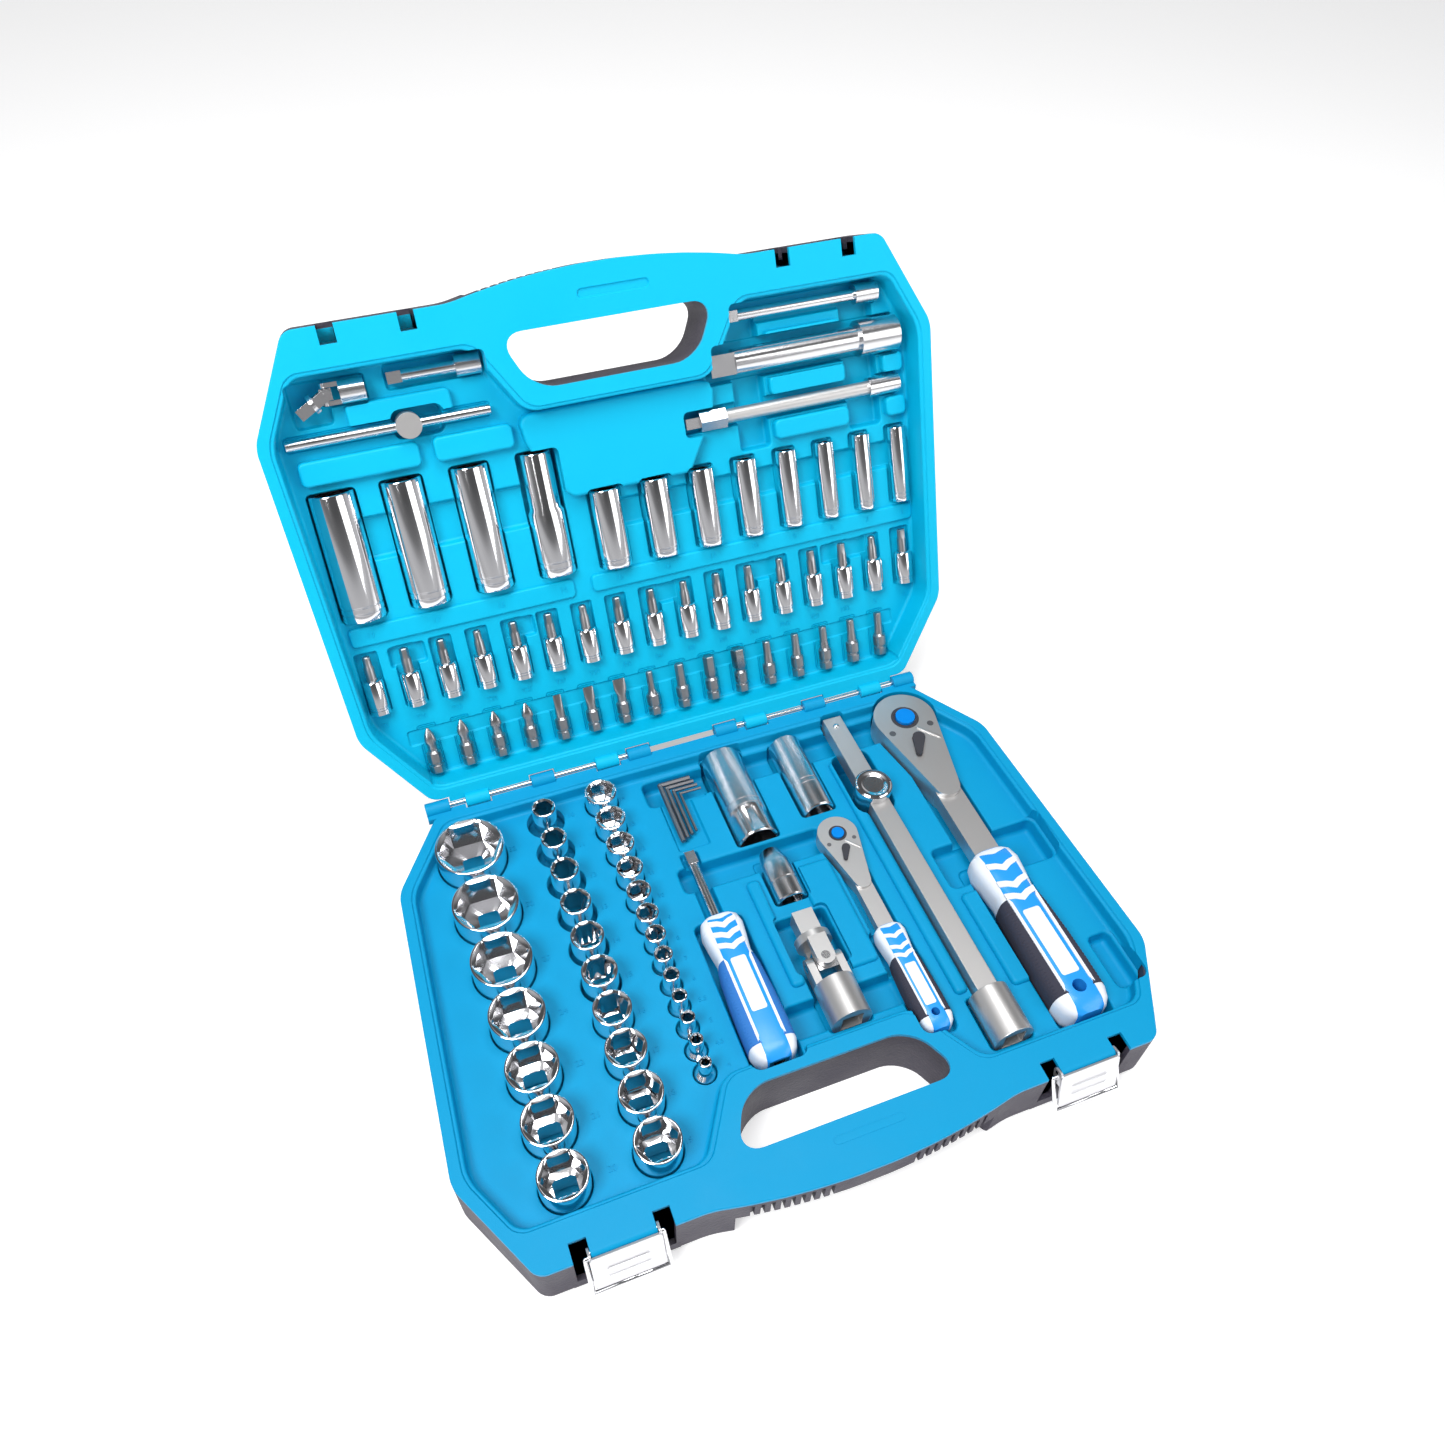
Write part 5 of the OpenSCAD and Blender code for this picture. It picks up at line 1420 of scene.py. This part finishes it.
@dataclass(frozen=True)
class BitRow:
    """The bit sockets with their tips, and the loose driver bits.

    Args:
        radius: a bit socket's radius.
        length: a bit socket's length.
        reach: how far a tip reaches from the socket's drive end.
        bits: the loose bits in order.
    """

    radius: float = 6.0
    length: float = 22.0
    reach: float = 37.0
    bits: tuple[DriverBit, ...] = (*(DriverBit(Tip.CROSS) for _ in range(4)),
                                   *(DriverBit(Tip.FLAT, 2.6 + 0.7 * i) for i in range(3)),
                                   *(DriverBit(Tip.HEXAGON, 2.0 + 0.75 * i) for i in range(4)),
                                   *(DriverBit(Tip.STAR) for _ in range(5)))

    def socket(self) -> bmesh.types.BMesh:
        """Builds a bit socket with its grooves, bore and drive square."""
        radius, length = self.radius, self.length
        rings = [Section(0, 5.4), Section(0.5, radius)]
        for at in (3.0, 4.6):
            rings += [Section(at, radius), Section(at + 0.2, radius - 0.4), Section(at + 0.7, radius - 0.4),
                      Section(at + 0.9, radius)]
        rings += [Section(length - 1.4, radius), Section(length - 0.4, 5.4), Section(length, 4.6),
                  Section(length, 3.25), Section(13, 3.25), Section(12.9, 3.2),
                  Section(0, 3.175, 4, 4.2), Section(0, 5.4)]
        return loft(rings, SMALL_STEPS, ends=False)

    def tip(self, sides: int) -> bmesh.types.BMesh:
        """Builds a bit socket's tip with a round or hexagon end."""
        end = self.reach
        return loft([Section(12.2, 3.1), Section(30, 3.1), Section(31.2, 2.5, sides),
                     Section(end - 0.6, 2.4, sides), Section(end, 2.0, sides)], SMALL_STEPS)

    def build(self) -> None:
        """Builds the three pieces: the sockets, their tips and the loose bits."""
        bodies, tips, drivers = bmesh.new(), bmesh.new(), bmesh.new()
        for i, (low, high) in enumerate(LID.solids("bit_sockets")):
            place = lies_along_s((low.x + high.x) / 2, low.y, (low.z + high.z) / 2)
            join(bodies, self.socket(), place)
            join(tips, self.tip(6 if i % 3 else 0), place)
        for bit, (low, high) in zip(self.bits, LID.solids("driver_bits")):
            join(drivers, bit.build(), lies_along_s((low.x + high.x) / 2, low.y, (low.z + high.z) / 2))
        steel = BIT_STEEL.build()
        piece("bit_sockets_turned", bodies, LID, "bits_row", CHROME.build(), ["bit_sockets"])
        piece("bit_socket_tips_milled", tips, LID, "bits_row", steel, ["bit_socket_tips"])
        piece("driver_bits_milled", drivers, LID, "drivers_row", steel, ["driver_bits"])


# ---------------------------------------------------------------- handles


HANDLE_END = 115.0
HANDLE_PLAN: tuple[Point, ...] = ((0, 10), (3, 14), (10, 15.5), (20, 14.4), (26, 13.5), (33, 12.5),
                                  (44, 14.5), (66, 16), (86, 16.5), (104, 16.5), (110, 14.4),
                                  (113.4, 11.6), (HANDLE_END, 8))
RIB_PITCH = 1.1


@dataclass
class Handle:
    """A moulded handle with side grips, a pale panel and chevrons.

    Args:
        name: the start of the handle's piece names.
        node: the start of the CAD nodes' names.
        body: the CAD body.
        k: the scale against the largest handle.
        grip: the side grips' finish, and a slot name that is not used.
        hole: True for a handle with a hanging hole.
        chevrons: the chevrons' places from the handle's head end.
        panel: the panel's start and end.
        tall: half the handle's height.
    """

    name: str
    node: str
    body: str
    k: float
    grip: tuple[Finish, str]
    hole: bool
    chevrons: tuple[float, ...] = (14.0, 27.0, 36.0)
    panel: tuple[float, float] = (47.0, 92.0)
    tall: float = 13.0

    def rings(self, more: float, first: float = 0.0, last: float = HANDLE_END,
              rib: float = 0.0) -> list[Section]:
        """Gives the handle's rings between two places.

        Args:
            more: how far they are grown.
            first: the first place, from the head end.
            last: the last place.
            rib: the height of fine ribs, or 0 for none.

        Returns:
            The rings.
        """
        places = [at for at, _ in HANDLE_PLAN if first < at < last] + [first, last]
        if rib:
            places = [first + i * RIB_PITCH for i in range(int((last - first) / RIB_PITCH) + 1)]
        rings = []
        for i, at in enumerate(sorted(places)):
            before = max((p for p in HANDLE_PLAN if p[0] <= at), key=lambda p: p[0])
            after = min((p for p in HANDLE_PLAN if p[0] >= at), key=lambda p: p[0])
            share = 0 if before == after else (at - before[0]) / (after[0] - before[0])
            wide = before[1] + share * (after[1] - before[1])
            end = min(1.0, 0.72 + 0.28 * min(at, HANDLE_END - at) / 6)
            grow = more + (rib if i % 2 else 0)
            rings.append(Section(at * self.k, (wide + grow) * self.k, tall=(self.tall * end + grow) * self.k,
                                 power=3.4))
        return rings

    def build(self) -> None:
        """Builds the handle, its grips and its pale markings."""
        low, high = BASE.box(f"{self.node}_handle")
        x, z, k = (low.x + high.x) / 2, (low.z + high.z) / 2, self.k
        start = high.y - HANDLE_END * k
        place = lies_along_s(x, start, z)
        body = loft(self.rings(-0.3), 64)
        bmesh.ops.transform(body, matrix=place, verts=body.verts)
        cuts = []
        if self.hole:
            hole = turned([(z - 30, 4 * k), (z + 30, 4 * k)])
            bmesh.ops.translate(hole, vec=(x, start + 100 * k, 0), verts=hole.verts)
            cuts.append(hole)
            bore = box_solid((x - 7 * k - 0.06, start - 2, z - 4 * k - 0.06),
                             (x + 7 * k + 0.06, start + 60 * k, z + 4 * k + 0.06))
        else:
            bore = turned([(-1, 3.06), (58, 3.06)])
            bmesh.ops.transform(bore, matrix=place, verts=bore.verts)
            cuts.append(box_solid((x - 6.06, start + HANDLE_END * k - 12.06, z - 6.06),
                                  (x + 6.06, start + 120 * k, z + 6.06)))
        body = combine(body, [*cuts, bore], Join.CUT)
        piece(f"{self.name}_handle_moulding", body, BASE, self.body, HANDLE_BLUE.build(),
              [f"{self.node}_handle"])
        grip = loft(self.rings(0.1, 37, 103, 0.28), 64)
        bmesh.ops.transform(grip, matrix=place, verts=grip.verts)
        middle = slab([(x - 9.5 * k, start + 36 * k), (x, start + 33 * k), (x + 9.5 * k, start + 36 * k),
                       (x + 9.5 * k, start + 99 * k), (x + 6 * k, start + 105 * k),
                       (x - 6 * k, start + 105 * k), (x - 9.5 * k, start + 99 * k)],
                      z - 30, z + 30, 2 * k)
        grip = combine(grip, [middle], Join.CUT)
        piece(f"{self.name}_grip_moulding", grip, BASE, self.body, self.grip[0].build(),
              [f"{self.node}_grip"])
        self.markings(x, start, z)

    def markings(self, x: float, start: float, z: float) -> None:
        """Builds the chevrons, the panel and the edge lines."""
        k, pale = self.k, bmesh.new()
        top = z + (self.tall - 0.3) * k
        for at in self.chevrons:
            s = start + at * k
            join(pale, slab([(x - 9.8 * k, s - 2.6 * k), (x - 4 * k, s - 1.4 * k), (x, s + 0.6 * k),
                             (x + 4 * k, s - 1.4 * k), (x + 9.8 * k, s - 2.6 * k), (x + 9.8 * k, s + 1.2 * k),
                             (x + 4.6 * k, s + 2.6 * k), (x, s + 5.2 * k), (x - 4.6 * k, s + 2.6 * k),
                             (x - 9.8 * k, s + 1.2 * k)], top - 1.0 * k, top + 0.28 * k, 0.5 * k, 2))
        a, b = self.panel
        panel = slab(box_outline(x - 5.5 * k, start + a * k, x + 5.5 * k, start + b * k),
                     top - 0.6 * k, top + 0.3 * k, 1.6 * k)
        join(pale, soften(panel, edges_at(panel, top + 0.3 * k), 0.15 * k, 2))
        for side in (-1, 1):
            line = slab([(x + side * 7.9 * k, start + 40 * k), (x + side * 9.8 * k, start + 36 * k),
                         (x + side * 9.8 * k, start + 101 * k), (x + side * 7.9 * k, start + 97 * k)],
                        top - 1.2 * k, top + 0.3 * k, 0.6 * k, 2)
            join(pale, line)
        piece(f"{self.name}_markings", pale, BASE, self.body, HANDLE_WHITE.build(), ())
        self.pale_ends(x, start, z)

    def pale_ends(self, x: float, start: float, z: float) -> None:
        """Builds the pale side shells at both ends of the handle."""
        k, whole = self.k, bmesh.new()
        for first, last, half_w in ((0.6, 37.5, 9.4), (98.0, 114.6, 8.6)):
            shell = loft(self.rings(0.02, first, last), 64)
            bmesh.ops.transform(shell, matrix=lies_along_s(x, start, z), verts=shell.verts)
            left, right = x - half_w * k, x + half_w * k
            near, far = start + (first + 2.5) * k, start + (last + 2) * k
            point = [(left, near), (x, start + (first + 5) * k), (right, near), (right, far), (left, far)]
            plain = box_outline(left, start + 90 * k, right, start + 120 * k)
            middle = slab(point if first < 50 else plain, z - 30, z + 30, 1.2 * k)
            cuts = [middle]
            if first < 50:
                cuts.append(box_solid((x - 7.1 * k, start - 2, z - 4.1 * k),
                                      (x + 7.1 * k, start + 60 * k, z + 4.1 * k)))
            join(whole, combine(shell, cuts, Join.CUT))
        piece(f"{self.name}_pale_ends", whole, BASE, self.body, HANDLE_WHITE.build(), ())


HANDLES = (
    Handle("half_ratchet", "half_ratchet", "half_ratchet", 1.0, (GRIP_BLACK, "grip_black"), True),
    Handle("quarter_ratchet", "quarter_ratchet", "quarter_ratchet", 0.604, (GRIP_BLACK, "grip_black"), True),
    Handle("spinner", "spinner", "spinner", 95 / 115, (GRIP_BLUE, "grip_blue"), False, (9.0, 18.0, 27.0),
           (38.0, 80.0)),
)


# ---------------------------------------------------------------- small turned details


@dataclass(frozen=True)
class RatchetTrim:
    """The ring round a ratchet's button and the ridge beside its lever.

    Args:
        name: "half" or "quarter".
        k: its scale against the larger ratchet.
    """

    name: str
    k: float

    def build(self) -> None:
        """Builds the ring and the ridge on the cover's top."""
        k, body = self.k, f"{self.name}_ratchet"
        low, high = BASE.box(f"{body}_cover")
        x, s, top = (low.x + high.x) / 2, low.y + HEAD_RADIUS * k, high.z
        profile = ((-0.4, 9.4), (0.25, 9.4), (0.5, 9.0), (0.5, 7.5), (0.2, 7.0), (-0.4, 7.0), (-0.4, 9.4))
        ring = turned([(z * k, radius * k) for z, radius in profile], ends=False)
        bmesh.ops.translate(ring, vec=(x, s, top), verts=ring.verts)
        piece(f"{body}_button_ring", ring, BASE, body, BLACK_PLASTIC.build(), ())
        corners = ((4, 9), (15.6, 22), (14.4, 24.5), (3, 11.4))
        ridge = slab([(x + a * k, s + b * k) for a, b in corners], top - 0.3, top + 0.55 * k, 0.8 * k, 2)
        soften(ridge, edges_at(ridge, top + 0.55 * k), 0.25 * k, 2)
        piece(f"{body}_ridge", ridge, BASE, body, SATIN_STEEL.build(), ())


@dataclass(frozen=True)
class SlideTrim:
    """The dish on the sliding head and the ball in the slide bar's end.

    Args:
        dish: the dish's profile, as heights and radii.
        ball: the ball's profile.
        ball_top: the height of the bar's top.
    """

    dish: tuple[Point, ...] = ((-0.5, 11.4), (0.3, 11.4), (0.9, 10.6), (0.9, 8.4), (0.5, 7.6), (-0.1, 6.4),
                               (-0.42, 4), (-0.5, 0.02))
    ball: tuple[Point, ...] = ((-0.4, 2.3), (0.3, 2.1), (1.0, 1.4), (1.3, 0.5), (1.32, 0.02))
    ball_top: float = -2.5

    def build(self) -> None:
        """Builds the dish and the ball."""
        low, high = BASE.box("slide_head")
        x, s = (low.x + high.x) / 2, (low.y + high.y) / 2
        dish = turned(self.dish)
        bmesh.ops.translate(dish, vec=(x, s, high.z), verts=dish.verts)
        piece("slide_head_dish", dish, BASE, "bar_head", CHROME.build(), ())
        ball = turned(self.ball, SMALL_STEPS)
        low = BASE.box("slide_bar")[0]
        bmesh.ops.translate(ball, vec=(x, low.y + 8, self.ball_top), verts=ball.verts)
        piece("slide_bar_ball", ball, BASE, "bar", CHROME.build(), ())


# ---------------------------------------------------------------- latches


@dataclass
class Latch:
    """A pressed steel latch plate with its ears and pressed grooves.

    Args:
        side: "left" or "right".
        x: its middle's place along the hinge.
        lean: how far it leans out, in degrees.
        half_w: half its width.
        length: its length below the pin's boss.
        thick: the steel's thickness.
        face_s: the place of its inner face.
        bail_hole: the place of the bail's hole.
    """

    side: str
    x: float
    lean: float = 16.0
    half_w: float = 18.25
    length: float = 25.0
    thick: float = 1.2
    face_s: float = 286.4
    bail_hole: Point = (282.4, -7.8)

    def build(self) -> bpy.types.Object:
        """Builds the plate in its open place."""
        s, z = LATCH_PIN
        turn = (Matrix.Translation((self.x, s, z)) @ Matrix.Rotation(math.radians(self.lean), 4, "X")
                @ Matrix.Translation((0, -s, -z)))
        spot = Half(f"latch_{self.side}", f"latch_{self.side}", BASE.to_row @ turn)
        top, low = -2.2, -2.2 - self.length
        face = slab([(-self.half_w, -low), (-self.half_w, -top), (self.half_w, -top), (self.half_w, -low)],
                    self.face_s, self.face_s + self.thick, 2.2)
        upright = Matrix(((1, 0, 0, 0), (0, 0, 1, 0), (0, -1, 0, 0), (0, 0, 0, 1)))
        bmesh.ops.transform(face, matrix=upright, verts=face.verts)
        grooves = []
        for at, deep in ((-12.5, 0.55), (-18.5, 0.35)):
            groove = turned([(-11, 0.2), (-10, 1.5), (10, 1.5), (11, 0.2)], 24)
            bmesh.ops.scale(groove, vec=(1, deep, 1), verts=groove.verts)
            bmesh.ops.transform(groove, matrix=lies_along_x(0, self.face_s + self.thick, at),
                                verts=groove.verts)
            grooves.append(groove)
        face = combine(face, grooves, Join.CUT)
        ears = []
        for edge in (-self.half_w, self.half_w - self.thick):
            ear = slab([(4.6, 280.4), (11, 280.4), (11, 287), (0.6, 287), (0.6, 281.8), (1.8, 280.4)],
                       0, self.thick, 1.2)
            stand = Matrix(((0, 0, 1, edge), (0, 1, 0, 0), (-1, 0, 0, 0), (0, 0, 0, 1)))
            bmesh.ops.transform(ear, matrix=stand, verts=ear.verts)
            bmesh.ops.recalc_face_normals(ear, faces=ear.faces)
            ears.append(ear)
        plate = combine(face, ears, Join.ADD)
        holes = [cylinder_between((-25, *hole), 50, PIN_BORE) for hole in (LATCH_PIN, self.bail_hole)]
        plate = combine(plate, holes, Join.CUT)
        return piece(f"latch_{self.side}_pressing", plate, spot, f"latch_{self.side}", PLATE_STEEL.build(),
                     [f"latch_plate_{self.side}"])


# ---------------------------------------------------------------- numbers


Word = tuple[str, float, float, float, float]


@dataclass(frozen=True)
class SizeNumbers:
    """The raised size numbers of a tray.

    Args:
        half: the half that carries them.
        finish: their finish.
        relief: how far half of a number's thickness reaches.
    """

    half: Half
    finish: Finish
    relief: float = 0.3

    def letters(self, text: str, size: float) -> bmesh.types.BMesh:
        """Builds one number about the origin."""
        curve = bpy.data.curves.new("number", "FONT")
        curve.body = text
        curve.size = size
        curve.extrude = self.relief
        curve.align_x = "CENTER"
        curve.align_y = "CENTER"
        made = bpy.data.objects.new("number", curve)
        bpy.context.scene.collection.objects.link(made)
        bpy.context.view_layer.update()
        graph = bpy.context.evaluated_depsgraph_get()
        data = bpy.data.meshes.new_from_object(made.evaluated_get(graph))
        bpy.data.objects.remove(made)
        part = bmesh.new()
        part.from_mesh(data)
        bpy.data.meshes.remove(data)
        return part

    def build(self, words: Sequence[Word]) -> bpy.types.Object:
        """Builds all numbers as one piece.

        Args:
            words: each number's text, x, s, z and height.

        Returns:
            The object.
        """
        whole = bmesh.new()
        up = 1 if self.half is LID else -1
        for text, x, s, z, size in words:
            place = Matrix.Translation((x, s, z)) @ Matrix.Scale(up, 4, Vector((0, 1, 0)))
            join(whole, self.letters(text, size), place)
        return piece(f"{self.half.name}_numbers", whole, self.half, self.half.body, self.finish.build(), ())


BIT_NAMES = ("T8", "T10", "T15", "T20", "T25", "T27", "T30", "H3", "H4", "H5", "H6", "PH1", "PH2", "PZ1",
             "PZ2", "5", "6")
BASE_NUMBERS = ((4.0, 5.0), (3.6, 4.6), (3.4, 4.0))
BASE_NUMBER_Z = -9.9
DEEP_NUMBERS = (112.0, -17.7, 5.0)
BIT_NUMBERS = (54.0, -19.9, 4.2)


def base_words() -> list[Word]:
    """Gives the base's numbers: one beside each standing socket."""
    words = []
    for row, (step, size) in zip(SOCKET_ROWS, BASE_NUMBERS):
        boxes = BASE.solids(row.node)
        edge = max(high.x for _, high in boxes)
        words += [(f"{value:g}", edge + step, (low.y + high.y) / 2, BASE_NUMBER_Z, size)
                  for value, (low, high) in zip(row.sizes, boxes)]
    return words


def lid_words() -> list[Word]:
    """Gives the lid's numbers: one at the foot of each deep socket and bit socket."""
    words = []
    for row in SOCKET_ROWS[3:]:
        words += [(f"{value:g}", (low.x + high.x) / 2, *DEEP_NUMBERS)
                  for value, (low, high) in zip(row.sizes, LID.solids(row.node))]
    return words + [(text, (low.x + high.x) / 2, *BIT_NUMBERS)
                    for text, (low, high) in zip(BIT_NAMES, LID.solids("bit_sockets"))]


# ---------------------------------------------------------------- studio


Place = tuple[float, float, float]
Lamp = tuple[str, Place, Place, float, float]


@dataclass
class Studio:
    """The floor, the lights and the camera.

    Args:
        place: the camera's place.
        turn: the camera's rotation in degrees.
        lens: its focal length in millimetres.
        shift: its shift.
        sky_power: the strength of the world's light.
        bands: the world's brightness against the share of the way from nadir to zenith.
        lamps: each lamp's name, place, aim, size and power.
    """

    place: Place = (-0.1564, -0.3081, 0.6129)
    turn: Place = (40.709, -1.282, -20.923)
    lens: float = 28.31
    shift: tuple[float, float] = (-0.0023, 0.0023)
    sky_power: float = 0.60
    bands: tuple[Point, ...] = ((0.16, 0.95), (0.30, 0.80), (0.42, 0.30), (0.60, 0.13), (0.84, 0.16),
                                (0.94, 1.0))
    lamps: tuple[Lamp, ...] = (("key", (-0.9, -0.5, 1.5), (0, 0.05, 0.05), 0.7, 24.0),
                               ("fill", (1.1, -0.9, 1.0), (0, 0.05, 0.1), 1.0, 8.0),
                               ("top", (0.1, 0.1, 1.7), (0, 0.05, 0.0), 0.8, 14.0))

    def build(self) -> None:
        """Builds the whole studio."""
        bpy.context.scene.view_settings.view_transform = "Standard"
        self.floor()
        self.sky()
        for lamp in self.lamps:
            self.light(*lamp)
        lens = bpy.data.cameras.new("view")
        lens.lens = self.lens
        lens.sensor_width = 36.0
        lens.shift_x, lens.shift_y = self.shift
        lens.clip_start = 0.01
        camera = bpy.data.objects.new("view", lens)
        camera.location = self.place
        camera.rotation_euler = [math.radians(a) for a in self.turn]
        bpy.context.scene.collection.objects.link(camera)
        bpy.context.scene.camera = camera

    def floor(self) -> None:
        """Builds the plain pale floor."""
        mesh = bmesh.new()
        bmesh.ops.create_grid(mesh, x_segments=1, y_segments=1, size=6.0)
        bmesh.ops.translate(mesh, vec=(0, 0, -0.0004), verts=mesh.verts)
        made = raw_object("floor", mesh)
        made.data.materials.append(FLOOR_PAINT.build())

    def sky(self) -> None:
        """Sets the world to a soft gradient from a darker horizon to a bright top."""
        world = bpy.data.worlds.new("studio")
        bpy.context.scene.world = world
        world.use_nodes = True
        tree = world.node_tree
        place = tree.nodes.new("ShaderNodeTexCoord")
        split = tree.nodes.new("ShaderNodeSeparateXYZ")
        ramp = tree.nodes.new("ShaderNodeValToRGB")
        bands = ramp.color_ramp.elements
        bands[0].position, bands[0].color = 0.0, (0.75, 0.75, 0.77, 1)
        bands[1].position, bands[1].color = 1.0, (1.0, 1.0, 1.0, 1)
        for at, shade in self.bands:
            bands.new(at).color = (shade, shade, shade * 1.02, 1)
        link(tree, place.outputs["Generated"], split.inputs["Vector"])
        link(tree, split.outputs["Z"], ramp.inputs["Fac"])
        link(tree, ramp.outputs["Color"], tree.nodes["Background"].inputs["Color"])
        tree.nodes["Background"].inputs["Strength"].default_value = self.sky_power

    def light(self, name: str, spot: Place, aim: Place, size: float, power: float) -> None:
        """Adds a square area light that faces a point.

        Args:
            name: the light's name.
            spot: its place.
            aim: the point that it faces.
            size: its side.
            power: its power in watts.
        """
        lamp = bpy.data.lights.new(name, "AREA")
        lamp.size = size
        lamp.energy = power
        made = bpy.data.objects.new(name, lamp)
        made.location = spot
        made.rotation_euler = (Vector(aim) - Vector(spot)).to_track_quat("-Z", "Y").to_euler()
        bpy.context.scene.collection.objects.link(made)


def main() -> None:
    """Builds the case, then its tools, then the studio."""
    Shell(BASE).build()
    Shell(LID).build()
    BaseTray().build()
    LidTray().build()
    for row in SOCKET_ROWS:
        row.build()
    BitRow().build()
    for socket in SPARK_SOCKETS:
        socket.build()
    BitAdapter().build()
    for handle in HANDLES:
        handle.build()
    for name, k in RATCHET_SCALES:
        RatchetTrim(name, k).build()
    SlideTrim().build()
    for side, x in (("left", -130.0), ("right", 130.0)):
        Latch(side, x).build()
    SizeNumbers(BASE, TRAY_BLUE).build(base_words())
    SizeNumbers(LID, LID_BLUE).build(lid_words())
    chrome, satin = CHROME.build(), SATIN_STEEL.build()
    carry(chrome, "hinge_rods", "latch_pins", "latch_bail_left", "latch_bail_right", edge=0)
    for name, edge in (("half_ratchet", 0.7), ("quarter_ratchet", 0.5)):
        carry(satin, f"{name}_body", f"{name}_cover", edge=edge)
        carry(DARK_STEEL.build(), f"{name}_screws", edge=0.3)
        carry(chrome, f"{name}_drive", f"{name}_pawl")
        carry(BUTTON_BLUE.build(), f"{name}_button", edge=0.5)
        carry(BLACK_PLASTIC.build(), f"{name}_lever", edge=0.5)
    carry(BRIGHT_STEEL.build(), "spinner_shank", "slide_head", "joint_half_cross", "extension_short",
          "extension_long", "extension_half", "flex_ends", "tbar_rod", "joint_quarter_socket",
          "joint_quarter_cross", "joint_quarter_driver")
    carry(satin, "slide_bar", "joint_half_socket", "joint_half_driver", "flex_cable", "tbar_head", edge=0.5)
    carry(DARK_STEEL.build(), "hex_keys", edge=0)
    carry(INSERT_RUBBER.build(), "spark_insert_21", "spark_insert_16", edge=0.3)
    Studio().build()


if __name__ == "__main__":
    main()
